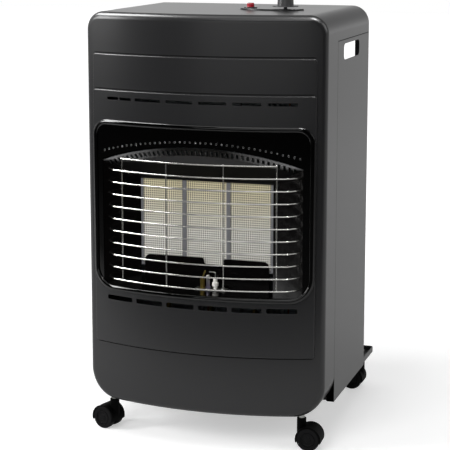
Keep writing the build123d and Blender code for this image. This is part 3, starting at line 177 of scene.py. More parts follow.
# Polyester powder coat on sheet steel: dark grey, satin, with the fine orange peel of a baked powder.
COAT_ROUGHNESS = 0.29
COAT_SPECULAR = 0.5
TOP_JOINT = 2.0 * MM            # width of the painted shade along a panel's top edge
FRONT_JOINT = 1.6 * MM          # and along its front edge
ROOT_ABOVE = 2.2 * MM           # root of a pressed step, above its top edge
ROOT_BELOW = 1.6 * MM           # and below its foot
ROOT_DARK = 0.5 * MM            # from the root, where its painted shade starts to fade
ROOT_CLEAR = 1.3 * MM           # from the root, where its painted shade ends
ROOT_FADE = 6.0 * MM            # over which the painted shade fades out at the step's ends


def powder_coat(name, line_of=None):
    """Powder coat; an optional function turns the place into the factor of a line of painted shade, near
    black, matt and without sheen.
    """
    tree, shader, coords = start_material(name, "#202021", COAT_ROUGHNESS)
    peel = add_node(tree, "ShaderNodeTexNoise", {"Vector": coords, "Scale": 1 / (2.4 * MM), "Detail": 2.0})
    bump = add_node(
        tree, "ShaderNodeBump", {"Height": peel.outputs["Fac"], "Distance": 0.02 * MM, "Strength": 0.6}
    )
    tree.links.new(bump.outputs["Normal"], shader.inputs["Normal"])
    cloud = add_node(tree, "ShaderNodeTexNoise", {"Vector": coords, "Scale": 1 / (160 * MM), "Detail": 3.0})
    coat = add_node(
        tree,
        "ShaderNodeMix",
        {FACTOR: cloud.outputs["Fac"], COLOUR_A: linear("#1f1f20"), COLOUR_B: linear("#222223")},
        data_type="RGBA",
    )
    if line_of:
        line = line_of(tree, add_node(tree, "ShaderNodeSeparateXYZ", {"Vector": coords}))
        # Painted shade: the line is drawn near black, with its roughness raised and its sheen taken away.
        coat = add_node(
            tree,
            "ShaderNodeMix",
            {FACTOR: line, COLOUR_A: coat.outputs[MIXED], COLOUR_B: linear("#020202")},
            data_type="RGBA",
        )
        worn = add_node(
            tree, "ShaderNodeMapRange", {"Value": line, "To Min": COAT_ROUGHNESS, "To Max": 0.9}
        )
        tree.links.new(worn.outputs["Result"], shader.inputs["Roughness"])
        dulled = add_node(
            tree, "ShaderNodeMapRange", {"Value": line, "To Min": COAT_SPECULAR, "To Max": 0.0}
        )
        tree.links.new(dulled.outputs["Result"], shader.inputs["Specular IOR Level"])
    tree.links.new(coat.outputs[MIXED], shader.inputs["Base Color"])


def panel_joints(tree, place):
    """Painted shade along a side panel's edges, in the joints where it meets the cover and the fascia."""
    top_joint = add_node(
        tree,
        "ShaderNodeMapRange",
        {"Value": place.outputs["Z"], "From Min": PANEL_TOP - TOP_JOINT, "From Max": PANEL_TOP},
    )
    front_joint = add_node(
        tree,
        "ShaderNodeMapRange",
        {"Value": place.outputs["Y"], "From Min": PANEL_FRONT + FRONT_JOINT, "From Max": PANEL_FRONT},
    )
    both = {0: top_joint.outputs["Result"], 1: front_joint.outputs["Result"]}
    return add_node(tree, "ShaderNodeMath", both, operation="MAXIMUM").outputs["Value"]


def pressed_roots(tree, place):
    """Painted shade at the root of each pressed step of the fascia."""
    roots = []
    for root_z in (STEP_TOPS[0] + ROOT_ABOVE, STEP_TOPS[1] + ROOT_ABOVE, STEP_FOOT - ROOT_BELOW):
        above = add_node(tree, "ShaderNodeMath", {0: place.outputs["Z"], 1: root_z}, operation="SUBTRACT")
        off = add_node(tree, "ShaderNodeMath", {0: above.outputs["Value"]}, operation="ABSOLUTE")
        root = add_node(
            tree,
            "ShaderNodeMapRange",
            {
                "Value": off.outputs["Value"],
                "From Min": ROOT_DARK,
                "From Max": ROOT_CLEAR,
                "To Min": 0.8,
                "To Max": 0.0,
            },
        )
        roots.append(root.outputs["Result"])
    upper = add_node(tree, "ShaderNodeMath", {0: roots[0], 1: roots[1]}, operation="MAXIMUM")
    every = add_node(tree, "ShaderNodeMath", {0: upper.outputs["Value"], 1: roots[2]}, operation="MAXIMUM")
    sideways = add_node(tree, "ShaderNodeMath", {0: place.outputs["X"]}, operation="ABSOLUTE")
    inside = add_node(
        tree,
        "ShaderNodeMapRange",
        {
            "Value": sideways.outputs["Value"],
            "From Min": STEP_HALF - ROOT_FADE,
            "From Max": STEP_HALF,
            "To Min": 1.0,
            "To Max": 0.0,
        },
    )
    both = {0: every.outputs["Value"], 1: inside.outputs["Result"]}
    return add_node(tree, "ShaderNodeMath", both, operation="MULTIPLY").outputs["Value"]


powder_coat("satin_powder_coat")
powder_coat("jointed_powder_coat", panel_joints)
powder_coat("pressed_powder_coat", pressed_roots)

# Vitreous enamel on the fire surround: glassy black, with the slow waves of fired enamel.
grained(
    "black_vitreous_enamel",
    "#020202",
    roughness=0.07,
    grain=45 * MM,
    detail=1.0,
    depth=0.12 * MM,
    strength=0.5,
    IOR=1.5,
)

# Black enamel on the cheeks and the floor of the firebox: glossy, with a film of soot.
tree, shader, coords = start_material("sooted_enamel", "#040303", 0.2, IOR=1.45, Specular_IOR_Level=0.2)
soot = add_node(tree, "ShaderNodeTexNoise", {"Vector": coords, "Scale": 1 / (30 * MM), "Detail": 3.0})
film = add_node(tree, "ShaderNodeMapRange", {"Value": soot.outputs["Fac"], "To Min": 0.08, "To Max": 0.26})
tree.links.new(film.outputs["Result"], shader.inputs["Roughness"])

# Stainless sheet over the fire, with painted light in its colour: painted shade blackens it above the burner,
# and a painted reflection brightens the ends of its slotted front edge and leaves the middle of that edge
# dark.
EDGE_DULL, EDGE_BRIGHT = 50 * MM, 150 * MM      # from the middle, sideways
EDGE_START, EDGE_FULL = 5.6 * MM, 4.8 * MM      # inside the slots' circle
SOOT_FRONT, SOOT_END = -189 * MM, -184 * MM     # Y over which the painted shade sets in
tree, shader, coords = start_material("sooted_stainless", "#3a3a3b", 0.5, Specular_IOR_Level=0.1)
place = add_node(tree, "ShaderNodeSeparateXYZ", {"Vector": coords})
sideways = add_node(tree, "ShaderNodeMath", {0: place.outputs["X"]}, operation="ABSOLUTE")
bright = add_node(
    tree,
    "ShaderNodeMapRange",
    {"Value": sideways.outputs["Value"], "From Min": EDGE_DULL, "From Max": EDGE_BRIGHT},
)
from_bow = add_node(
    tree, "ShaderNodeMapping", {"Vector": coords, "Location": (0, -BOW_CENTRE, 0), "Scale": (1, 1, 0)}
)
reach = add_node(tree, "ShaderNodeVectorMath", {0: from_bow.outputs["Vector"]}, operation="LENGTH")
front_edge = add_node(
    tree,
    "ShaderNodeMapRange",
    {
        "Value": reach.outputs["Value"],
        "From Min": SLOT_CIRCLE - EDGE_START,
        "From Max": SLOT_CIRCLE - EDGE_FULL,
    },
)
above_burner = add_node(
    tree, "ShaderNodeMapRange", {"Value": place.outputs["Y"], "From Min": SOOT_FRONT, "From Max": SOOT_END}
)
# Painted reflection: the front edge is bright at its ends and dark in its middle.
edge = add_node(
    tree,
    "ShaderNodeMix",
    {FACTOR: bright.outputs["Result"], COLOUR_A: linear("#121212"), COLOUR_B: linear("#8a8a8b")},
    data_type="RGBA",
)
hood = add_node(
    tree,
    "ShaderNodeMix",
    {FACTOR: front_edge.outputs["Result"], COLOUR_A: linear("#3a3a3b"), COLOUR_B: edge.outputs[MIXED]},
    data_type="RGBA",
)
# Painted shade: black above the burner.
sooted = add_node(
    tree,
    "ShaderNodeMix",
    {FACTOR: above_burner.outputs["Result"], COLOUR_A: hood.outputs[MIXED], COLOUR_B: linear("#030303")},
    data_type="RGBA",
)
tree.links.new(sooted.outputs[MIXED], shader.inputs["Base Color"])

# Edge of a pressed hole or slot, where the sheet is bare: bright and slightly rough.
grained(
    "bare_sheet_edge",
    "#a2a2a3",
    roughness=0.3,
    grain=0.8 * MM,
    detail=2.0,
    depth=0.02 * MM,
    Metallic=1.0,
)

# Pickled stainless of the burner frame: even, matt, pale grey, with painted shade in black above the windows.
SMOKE_FOOT, SMOKE_FULL = 447.5 * MM, 448.8 * MM
tree, shader, coords = start_material("pickled_stainless", "#8f8f90", 0.5, Metallic=0.6)
grain = add_node(tree, "ShaderNodeTexNoise", {"Vector": coords, "Scale": 1 / (1.2 * MM), "Detail": 3.0})
place = add_node(tree, "ShaderNodeSeparateXYZ", {"Vector": coords})
smoke = add_node(
    tree, "ShaderNodeMapRange", {"Value": place.outputs["Z"], "From Min": SMOKE_FOOT, "From Max": SMOKE_FULL}
)
pale = add_node(
    tree,
    "ShaderNodeMix",
    {FACTOR: grain.outputs["Fac"], COLOUR_A: linear("#7c7c80"), COLOUR_B: linear("#8e8e92")},
    data_type="RGBA",
)
# Painted shade: black above the windows.
smoked = add_node(
    tree,
    "ShaderNodeMix",
    {FACTOR: smoke.outputs["Result"], COLOUR_A: pale.outputs[MIXED], COLOUR_B: linear("#050505")},
    data_type="RGBA",
)
tree.links.new(smoked.outputs[MIXED], shader.inputs["Base Color"])

# Cordierite plaque: pale unglazed ceramic in rows of flame holes, yellowed towards the top. The real holes
# are 1.2 mm across on a 2.2 mm pitch; they are drawn on a 3.8 mm pitch so that the rows still show.
HOLE_PITCH = 3.8 * MM
HOLE_SQUEEZE = 1.15                             # of each hole, sideways
HOLE_BOTTOM, HOLE_RIM = 0.26, 0.4               # radii, as parts of the pitch
AGED_FOOT, AGED_TOP = 360 * MM, 460 * MM
tree, shader, coords = start_material("perforated_cordierite", "#d3c9bb", 0.9, Specular_IOR_Level=0.1)
rows = add_node(tree, "ShaderNodeMapping", {"Vector": coords, "Scale": (1 / HOLE_PITCH, 0, 1 / HOLE_PITCH)})
cell = add_node(tree, "ShaderNodeVectorMath", {0: rows.outputs["Vector"]}, operation="FRACTION")
offset = add_node(
    tree, "ShaderNodeVectorMath", {0: cell.outputs["Vector"], 1: (0.5, 0.0, 0.5)}, operation="SUBTRACT"
)
squeezed = add_node(
    tree,
    "ShaderNodeVectorMath",
    {0: offset.outputs["Vector"], 1: (HOLE_SQUEEZE, 1.0, 1.0)},
    operation="MULTIPLY",
)
radius = add_node(tree, "ShaderNodeVectorMath", {0: squeezed.outputs["Vector"]}, operation="LENGTH")
face = add_node(
    tree,
    "ShaderNodeMapRange",
    {"Value": radius.outputs["Value"], "From Min": HOLE_BOTTOM, "From Max": HOLE_RIM},
)
place = add_node(tree, "ShaderNodeSeparateXYZ", {"Vector": coords})
aged = add_node(
    tree, "ShaderNodeMapRange", {"Value": place.outputs["Z"], "From Min": AGED_FOOT, "From Max": AGED_TOP}
)
fired = add_node(
    tree,
    "ShaderNodeMix",
    {FACTOR: aged.outputs["Result"], COLOUR_A: linear("#e0ded6"), COLOUR_B: linear("#d8cda4")},
    data_type="RGBA",
)
# Painted shade in the holes: they are drawn dark in the colour.
holed = add_node(
    tree,
    "ShaderNodeMix",
    {FACTOR: face.outputs["Result"], COLOUR_A: linear("#3a362e"), COLOUR_B: fired.outputs[MIXED]},
    data_type="RGBA",
)
tree.links.new(holed.outputs[MIXED], shader.inputs["Base Color"])
bump = add_node(
    tree, "ShaderNodeBump", {"Height": face.outputs["Result"], "Distance": 0.6 * MM, "Strength": 0.5}
)
tree.links.new(bump.outputs["Normal"], shader.inputs["Normal"])

# Bright chrome plate on the guard's wires: mirror bright under a faint haze.
tree, shader, coords = start_material("bright_chrome_plate", "#c9c8c4", 0.16, Metallic=1.0)
haze = add_node(tree, "ShaderNodeTexNoise", {"Vector": coords, "Scale": 1 / (9 * MM), "Detail": 3.0})
smear = add_node(tree, "ShaderNodeMapRange", {"Value": haze.outputs["Fac"], "To Min": 0.08, "To Max": 0.24})
tree.links.new(smear.outputs["Result"], shader.inputs["Roughness"])

# Zinc plate with a clear passivate: pale steel with faint blue and straw patches.
mottled(
    "clear_zinc_plate",
    "#a9adae",
    roughness=0.34,
    patch=5 * MM,
    detail=2.0,
    shades=("#9fa7b0", "#b5b09c"),
    Metallic=1.0,
)

# Hot-dip galvanised sheet: a spangle of crystals about 12 mm across.
tree, shader, coords = start_material("galvanised_spangle", "#8f9496", 0.45, Metallic=1.0)
spangle = add_node(tree, "ShaderNodeTexVoronoi", {"Vector": coords, "Scale": 1 / (12 * MM)})
facet = add_node(tree, "ShaderNodeSeparateColor", {"Color": spangle.outputs["Color"]})
crystal = add_node(
    tree,
    "ShaderNodeMix",
    {FACTOR: facet.outputs["Red"], COLOUR_A: linear("#888d8f"), COLOUR_B: linear("#9a9fa1")},
    data_type="RGBA",
)
tree.links.new(crystal.outputs[MIXED], shader.inputs["Base Color"])
gleam = add_node(tree, "ShaderNodeMapRange", {"Value": facet.outputs["Green"], "To Min": 0.4, "To Max": 0.52})
tree.links.new(gleam.outputs["Result"], shader.inputs["Roughness"])

# Turned brass: warm yellow, faintly tarnished, with fine tool marks.
tree, shader, coords = start_material("turned_brass", "#b8a052", 0.28, Metallic=1.0)
tooling = add_node(tree, "ShaderNodeTexNoise", {"Vector": coords, "Scale": 1 / (0.5 * MM), "Detail": 1.0})
bump = add_node(
    tree, "ShaderNodeBump", {"Height": tooling.outputs["Fac"], "Distance": 0.01 * MM, "Strength": 1.0}
)
tree.links.new(bump.outputs["Normal"], shader.inputs["Normal"])
tarnish = add_node(tree, "ShaderNodeTexNoise", {"Vector": coords, "Scale": 1 / (6 * MM), "Detail": 2.0})
tarnished = add_node(
    tree,
    "ShaderNodeMix",
    {FACTOR: tarnish.outputs["Fac"], COLOUR_A: linear("#9c8745"), COLOUR_B: linear("#c9b263")},
    data_type="RGBA",
)
tree.links.new(tarnished.outputs[MIXED], shader.inputs["Base Color"])

# Drawn aluminium pipe: soft pale metal, faintly clouded by handling.
mottled(
    "drawn_aluminium",
    "#b4b6b8",
    roughness=0.36,
    patch=3 * MM,
    detail=3.0,
    shades=("#a5a7a9", "#c0c2c4"),
    Metallic=1.0,
)

# Pressure die casting of the gas valve: grey, slightly grainy.
grained(
    "die_cast_alloy",
    "#8b8d8f",
    roughness=0.52,
    grain=0.9 * MM,
    detail=3.0,
    depth=0.04 * MM,
    Metallic=1.0,
)

# Copper sheath of the thermocouple lead: dulled by the air to patches of brown.
mottled(
    "dulled_copper",
    "#9c5f43",
    roughness=0.4,
    patch=8 * MM,
    detail=3.0,
    shades=("#7d4a35", "#b57455"),
    Metallic=1.0,
)

# Stainless probe, blued by heat towards its foot.
BLUED_FOOT, BLUED_TOP = 266 * MM, 288 * MM
tree, shader, coords = start_material("flame_blued_stainless", "#8d8a96", 0.32, Metallic=1.0)
place = add_node(tree, "ShaderNodeSeparateXYZ", {"Vector": coords})
plain = add_node(
    tree, "ShaderNodeMapRange", {"Value": place.outputs["Z"], "From Min": BLUED_FOOT, "From Max": BLUED_TOP}
)
blued = add_node(
    tree,
    "ShaderNodeMix",
    {FACTOR: plain.outputs["Result"], COLOUR_A: linear("#77708f"), COLOUR_B: linear("#b9b6b4")},
    data_type="RGBA",
)
tree.links.new(blued.outputs[MIXED], shader.inputs["Base Color"])

# Black nickel plate on the spindle and its collar: dark metal with a soft sheen.
mottled(
    "black_nickel_plate",
    "#232325",
    roughness=0.3,
    patch=3 * MM,
    detail=2.0,
    shades=("#1c1c1e", "#2b2b2d"),
    Metallic=1.0,
)

# Glazed alumina of the spark insulator: white and glassy.
grained(
    "glazed_alumina",
    "#f2f0ea",
    roughness=0.18,
    grain=4 * MM,
    detail=1.0,
    depth=0.03 * MM,
    strength=0.4,
    IOR=1.6,
)

# Silicone sleeve of the spark lead: matt black, faintly uneven.
grained("silicone_sleeve", "#141414", roughness=0.55, grain=0.6 * MM, detail=1.0, depth=0.02 * MM)

# Moulded nylon of the castor hoods: black, lightly eroded mould texture.
grained(
    "black_nylon",
    "#020202",
    roughness=0.6,
    grain=0.5 * MM,
    detail=2.0,
    depth=0.02 * MM,
    Specular_IOR_Level=0.06,
)

# Moulded nylon of the castor wheels: dark grey, faintly scuffed all over.
mottled(
    "grey_nylon",
    "#0a0a0b",
    roughness=0.55,
    patch=2.5 * MM,
    detail=4.0,
    shades=("#080809", "#0e0e0f"),
    Specular_IOR_Level=0.12,
)

# Moulded ABS of the escutcheon and the igniter's body: polished black, with a trace of flow.
grained(
    "polished_black_abs",
    "#0c0c0d",
    roughness=0.28,
    grain=14 * MM,
    detail=1.0,
    depth=0.03 * MM,
    strength=0.4,
)

# Moulded ABS of the knob and its cap: satin, with a fine mould texture.
grained("satin_grey_abs", "#39393a", roughness=0.38, grain=0.7 * MM, detail=2.0, depth=0.015 * MM)
grained("pale_grey_abs", "#b9b9b8", roughness=0.35, grain=0.7 * MM, detail=2.0, depth=0.015 * MM)

# Moulded ABS of the igniter's button: glossy red, coloured through.
grained(
    "red_abs",
    "#9c0a20",
    roughness=0.25,
    grain=6 * MM,
    detail=1.0,
    depth=0.02 * MM,
    strength=0.4,
    Coat_Weight=0.2,
)

# Screen print round the knob: matt white ink, a little uneven from the mesh.
mottled(
    "white_screen_print",
    "#d9d9d6",
    roughness=0.7,
    patch=0.4 * MM,
    detail=2.0,
    shades=("#cbcbc8", "#e2e2df"),
)

# The fascia's coat carries painted shade at the roots of its pressed steps.
dress("pressed_powder_coat", "front_fascia")
dress("satin_powder_coat", "top_cover", "base_tray")
# The side panels' coat carries painted shade along their joints.
dress("jointed_powder_coat", "left_side_panel", "right_side_panel")
dress("galvanised_spangle", "heat_shield", "injector_rail", "valve_bracket")
dress("black_vitreous_enamel", "fire_surround")
dress("sooted_stainless", "reflector_top")
dress("sooted_enamel", "reflector_floor", "reflector_left", "reflector_right", "lower_baffle")
dress("pickled_stainless", "burner_frame", "burner_bodies")
dress("perforated_cordierite", "ceramic_plaques")
dress("bright_chrome_plate", "guard_wires", "guard_uprights")
dress("clear_zinc_plate", "cabinet_screws", "pilot_bracket", "castor_stems", "castor_nuts", "spark_electrode")
dress("clear_zinc_plate", *[f"castor_axle_{corner}" for corner in CASTORS])
dress("turned_brass", "injectors", "pilot_burner", "hose_tail", "pipe_nuts")
dress("black_nickel_plate", "valve_spindle", "spindle_collar")
dress("drawn_aluminium", "burner_pipe_left", "burner_pipe_middle", "burner_pipe_right", "pilot_pipe")
dress("dulled_copper", "thermocouple_lead")
dress("flame_blued_stainless", "thermocouple")
dress("die_cast_alloy", "gas_valve")
dress("glazed_alumina", "spark_insulator")
dress("silicone_sleeve", "igniter_lead")
dress("polished_black_abs", "control_escutcheon", "igniter_body")
dress("satin_grey_abs", "control_knob")
dress("pale_grey_abs", "knob_cap")
dress("red_abs", "igniter_button")
dress("black_nylon", *[f"castor_hood_{corner}" for corner in CASTORS])
dress("grey_nylon", *[f"castor_wheel_{corner}_{side}" for corner in CASTORS for side in "ab"])


# ------------------------------------------------------------------ small parts
def start_edit(piece, test):
    """Open a piece in edit mode with the vertices that pass a test selected."""
    bpy.ops.object.mode_set(mode="EDIT")
    bpy.ops.mesh.select_mode(type="VERT")
    bpy.ops.mesh.select_all(action="DESELECT")
    shape = bmesh.from_edit_mesh(piece.data)
    for vertex in shape.verts:
        vertex.select = test(vertex.co)
    shape.select_flush(True)
    bmesh.update_edit_mesh(piece.data)


def start_piece(operator, **settings):
    """Add a primitive with everything else deselected."""
    bpy.ops.object.select_all(action="DESELECT")
    operator(**settings)
    return bpy.context.object


def select_only(piece):
    """Select one piece and nothing else, and make it the active one."""
    bpy.ops.object.select_all(action="DESELECT")
    piece.select_set(True)
    bpy.context.view_layer.objects.active = piece


def lay_in_place(piece):
    """Put a piece's place and size into its mesh."""
    select_only(piece)
    bpy.ops.object.transform_apply(location=True, rotation=True, scale=True)


def hand_over(piece, name, material_name, body="cabinet", smooth_angle=35):
    """Name a finished piece, give it its finish and let it ride on a body."""
    lay_in_place(piece)
    piece.name = name
    piece.data.name = name
    piece.data.materials.clear()
    piece.data.materials.append(bpy.data.materials[material_name])
    bpy.ops.object.shade_smooth_by_angle(angle=math.radians(smooth_angle))
    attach(piece, body)


def copy_to(pattern, matrix):
    """Copy a pattern piece, with a mesh of its own, to a place."""
    copy = pattern.copy()
    copy.data = pattern.data.copy()
    copy.matrix_world = matrix
    bpy.context.scene.collection.objects.link(copy)
    return copy


def set_out(pattern, matrices, name, material_name, smooth_angle=35):
    """Copy a pattern piece to each place and join the copies into one piece of the cabinet."""
    copies = [copy_to(pattern, matrix) for matrix in matrices]
    bpy.data.objects.remove(pattern)
    bpy.ops.object.select_all(action="DESELECT")
    for copy in copies:
        copy.select_set(True)
    bpy.context.view_layer.objects.active = copies[0]
    bpy.ops.object.join()
    hand_over(copies[0], name, material_name, smooth_angle=smooth_angle)


def bow_y(x, proud):
    """Y of the fascia's bow at x, moved forward by proud."""
    return BOW_CENTRE - math.sqrt((BOW_RADIUS + proud) ** 2 - x**2)


SURROUND_FOOT, SURROUND_TOP = (corner[2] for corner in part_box("fire_surround"))
SURROUND_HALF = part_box("fire_surround")[1][0]
SURROUND_FACE = 5.05 * MM       # ahead of the fascia's side edges' bow
UPPER_CORNER = 28 * MM          # radii of the surround's corners
LOWER_CORNER = 40 * MM
BEAD_IN = 4.2 * MM              # middle of the bead in from the surround's edge
BEAD_HALF_WIDTH = 4.4 * MM
BEAD_HALF_DEPTH = 3.1 * MM
BEAD_PROUD = 5.6 * MM
TOUCHING = 0.1 * MM             # within which a corner counts as lying on an edge

# Enamelled bead round the fire surround: its outline is drawn flat, made a round bar, then bowed.
surround_middle = (SURROUND_TOP + SURROUND_FOOT) / 2
bead = start_piece(
    bpy.ops.mesh.primitive_plane_add,
    size=1,
    location=(0, 0, surround_middle),
    rotation=(math.pi / 2, 0, 0),
)
bead.scale = (2 * (SURROUND_HALF - BEAD_IN), SURROUND_TOP - SURROUND_FOOT - 2 * BEAD_IN, 1)
lay_in_place(bead)
start_edit(bead, lambda place: place.z > surround_middle)
bpy.ops.mesh.bevel(offset=UPPER_CORNER - BEAD_IN, segments=14, affect="VERTICES")
bpy.ops.object.mode_set(mode="OBJECT")
start_edit(bead, lambda place: place.z < SURROUND_FOOT + BEAD_IN + TOUCHING)
bpy.ops.mesh.bevel(offset=LOWER_CORNER - BEAD_IN, segments=18, affect="VERTICES")
bpy.ops.mesh.select_all(action="SELECT")
bpy.ops.mesh.delete(type="ONLY_FACE")
bpy.ops.object.mode_set(mode="OBJECT")
for edge_z in (SURROUND_TOP - BEAD_IN, SURROUND_FOOT + BEAD_IN):
    start_edit(bead, lambda place: abs(place.z - edge_z) < TOUCHING)
    bpy.ops.mesh.subdivide(number_cuts=40)
    bpy.ops.object.mode_set(mode="OBJECT")
bpy.ops.object.convert(target="CURVE")
bead = bpy.context.object
bead.data.bevel_depth = BEAD_HALF_WIDTH
bead.data.bevel_resolution = 4
bpy.ops.object.convert(target="MESH")
bead = bpy.context.object
for vertex in bead.data.vertices:
    flat = vertex.co.y * BEAD_HALF_DEPTH / BEAD_HALF_WIDTH
    vertex.co.y = flat + bow_y(vertex.co.x, BEAD_PROUD)
hand_over(bead, "surround_bead", "black_vitreous_enamel", smooth_angle=60)

# Raised rim round each perforation, where the enamel is thin and the steel shows.
PERFORATION_PITCH = 9 * MM
PERFORATIONS_EACH_SIDE = 19
PERFORATION_ARC = 647.2 * MM    # radius of the arc that the row follows
PERFORATION_DROP = 29 * MM      # of the row's middle below the surround's top
RIM_RADIUS = 1.75 * MM
# Each step narrows the rim's edge and moves it forward: outer flank, crown and inner flank.
RIM_STEPS = ((0.9, 0.35 * MM), (0.88, -0.1 * MM), (0.96, -0.5 * MM))
rim = start_piece(
    bpy.ops.mesh.primitive_circle_add, vertices=10, radius=RIM_RADIUS, rotation=(math.pi / 2, 0, 0)
)
lay_in_place(rim)
bpy.ops.object.mode_set(mode="EDIT")
bpy.ops.mesh.select_all(action="SELECT")
for narrower, forward in RIM_STEPS:
    bpy.ops.mesh.extrude_region_move(TRANSFORM_OT_translate={"value": (0, -forward, 0)})
    bpy.ops.transform.resize(value=(narrower, 1, narrower), center_override=(0, 0, 0))
bpy.ops.mesh.select_all(action="SELECT")
bpy.ops.mesh.normals_make_consistent(inside=False)
bpy.ops.object.mode_set(mode="OBJECT")
rim_places = []
for step in range(-PERFORATIONS_EACH_SIDE, PERFORATIONS_EACH_SIDE + 1):
    x = step * PERFORATION_PITCH
    z = SURROUND_TOP - PERFORATION_DROP - PERFORATION_ARC + math.sqrt(PERFORATION_ARC**2 - x**2)
    turn = Matrix.Rotation(math.asin(x / BOW_RADIUS), 4, "Z")
    rim_places.append(Matrix.Translation((x, bow_y(x, SURROUND_FACE), z)) @ turn)
set_out(rim, rim_places, "perforation_rims", "bare_sheet_edge")

# Bare edge along one side of each slot of the upper reflector.
SLOPE = math.radians(47.5)
SLOPE_START = (-158.75 * MM, 451.55 * MM)       # Y and Z where the slope leaves the burner
SLOT_PITCH = 8.58 * MM          # along the slots' circle
SLOTS_EACH_SIDE = 19
LIP_SIZE = (0.8 * MM, 8.4 * MM, 1.0 * MM)
LIP_TAPER = (0.5, 0.9, 1.0)     # of its upper half
LIP_ASIDE = 2.3 * MM            # from the middle of its slot
lip = start_piece(bpy.ops.mesh.primitive_cube_add, size=1)
lip.scale = LIP_SIZE
lay_in_place(lip)
start_edit(lip, lambda place: place.z > 0)
bpy.ops.transform.resize(value=LIP_TAPER, center_override=(0, 0, 0))
bpy.ops.object.mode_set(mode="OBJECT")
lip_places = []
for step in range(-SLOTS_EACH_SIDE, SLOTS_EACH_SIDE + 1):
    turn = step * SLOT_PITCH / SLOT_CIRCLE
    x = SLOT_CIRCLE * math.sin(turn) - LIP_ASIDE
    y = BOW_CENTRE - SLOT_CIRCLE * math.cos(turn)
    z = SLOPE_START[1] + (SLOPE_START[0] - y) * math.tan(SLOPE)
    up_slope = Vector((math.sin(turn), -math.cos(turn), math.tan(SLOPE) * math.cos(turn))).normalized()
    outward = Vector((0, -math.sin(SLOPE), -math.cos(SLOPE)))
    along = up_slope.cross(outward).normalized()
    turned = Matrix((along, up_slope, along.cross(up_slope))).transposed().to_4x4()
    lip_places.append(Matrix.Translation((x, y, z)) @ turned)
set_out(lip, lip_places, "slot_edges", "bare_sheet_edge")

# Weld nugget at each crossing of a bowed guard wire and an upright.
GUARD_CENTRE = 205.95 * MM      # Y of the middle of the guard's bow
GUARD_RADIUS = 431.0 * MM
WIRE_RADIUS = 1.2 * MM
GUARD_HEIGHTS = [(278.5 + 20.9 * step) * MM for step in range(11)]
UPRIGHTS = (-136 * MM, -50 * MM, 50 * MM, 136 * MM)
NUGGET_RADIUS = 1.5 * MM
NUGGET_FRONT = -0.2 * MM        # Y ahead of which a nugget is flattened
NUGGET_FLATTENING = (0.8, 0.4, 0.8)
nugget = start_piece(
    bpy.ops.mesh.primitive_uv_sphere_add, segments=10, ring_count=6, radius=NUGGET_RADIUS
)
start_edit(nugget, lambda place: place.y < NUGGET_FRONT)
bpy.ops.transform.resize(value=NUGGET_FLATTENING, center_override=(0, 0, 0))
bpy.ops.object.mode_set(mode="OBJECT")
nugget_places = []
for x in UPRIGHTS:
    turn = math.asin(x / GUARD_RADIUS)
    reach = GUARD_RADIUS - WIRE_RADIUS
    for z in GUARD_HEIGHTS:
        place = Matrix.Translation((reach * math.sin(turn), GUARD_CENTRE - reach * math.cos(turn), z))
        nugget_places.append(place @ Matrix.Rotation(turn, 4, "Z"))
set_out(nugget, nugget_places, "guard_welds", "bright_chrome_plate", smooth_angle=60)

# Pan-head screws with a cross recess, in place of the plain ones.
HEAD_RADIUS, HEAD_HEIGHT = 3.8 * MM, 2.4 * MM
HEAD_ROUNDING = 0.9 * MM
BLADE_SIZE = (4.4 * MM, 0.9 * MM, 2.6 * MM)     # of the two blades that cut the cross
BLADE_TAPER = (0.5, 0.5, 1.0)                   # of their lower end
SHANK_RADIUS, SHANK_LENGTH = 2 * MM, 6 * MM
SHANK_CHAMFER = 0.5 * MM
SIDE_SCREW_X = 202.8 * MM                       # seam and flange screws
SEAM_SCREW_HEIGHTS = [(110 + 138.75 * step) * MM for step in range(5)]
TOP_SCREW_X, TOP_SCREW_Z = 120 * MM, 723.8 * MM
FLANGE_SCREW_YS = (-53.75 * MM, 96.25 * MM)
SHIELD_SCREW_X, SHIELD_SCREW_Y = 140 * MM, -67.55 * MM
PILOT_SCREW_X, PILOT_SCREW_Y = 34 * MM, -170.75 * MM
screw = start_piece(
    bpy.ops.mesh.primitive_cylinder_add,
    vertices=20,
    radius=HEAD_RADIUS,
    depth=HEAD_HEIGHT,
    location=(0, 0, HEAD_HEIGHT / 2),
)
lay_in_place(screw)
start_edit(screw, lambda place: place.z > HEAD_HEIGHT / 2)
bpy.ops.mesh.bevel(offset=HEAD_ROUNDING, segments=3, affect="EDGES")
bpy.ops.object.mode_set(mode="OBJECT")
for turn in (0, math.pi / 2):
    blade = start_piece(
        bpy.ops.mesh.primitive_cube_add, size=1, location=(0, 0, HEAD_HEIGHT), rotation=(0, 0, turn)
    )
    blade.scale = BLADE_SIZE
    lay_in_place(blade)
    start_edit(blade, lambda place: place.z < HEAD_HEIGHT)
    bpy.ops.transform.resize(value=BLADE_TAPER, center_override=(0, 0, 0))
    bpy.ops.object.mode_set(mode="OBJECT")
    recess = screw.modifiers.new("recess", "BOOLEAN")
    recess.operation = "DIFFERENCE"
    recess.object = blade
    select_only(screw)
    bpy.ops.object.modifier_apply(modifier=recess.name)
    bpy.data.objects.remove(blade)
shank = start_piece(
    bpy.ops.mesh.primitive_cylinder_add,
    vertices=14,
    radius=SHANK_RADIUS,
    depth=SHANK_LENGTH,
    location=(0, 0, -SHANK_LENGTH / 2),
)
lay_in_place(shank)
start_edit(shank, lambda place: place.z < -SHANK_LENGTH / 2)
bpy.ops.mesh.bevel(offset=SHANK_CHAMFER, segments=1, affect="EDGES")
bpy.ops.object.mode_set(mode="OBJECT")
screw.select_set(True)
bpy.context.view_layer.objects.active = screw
bpy.ops.object.join()
seam_y = SEAM + SHEET
heads_back = Matrix.Rotation(-math.pi / 2, 4, "X")
heads_down = Matrix.Rotation(math.pi, 4, "X")
screw_places = []
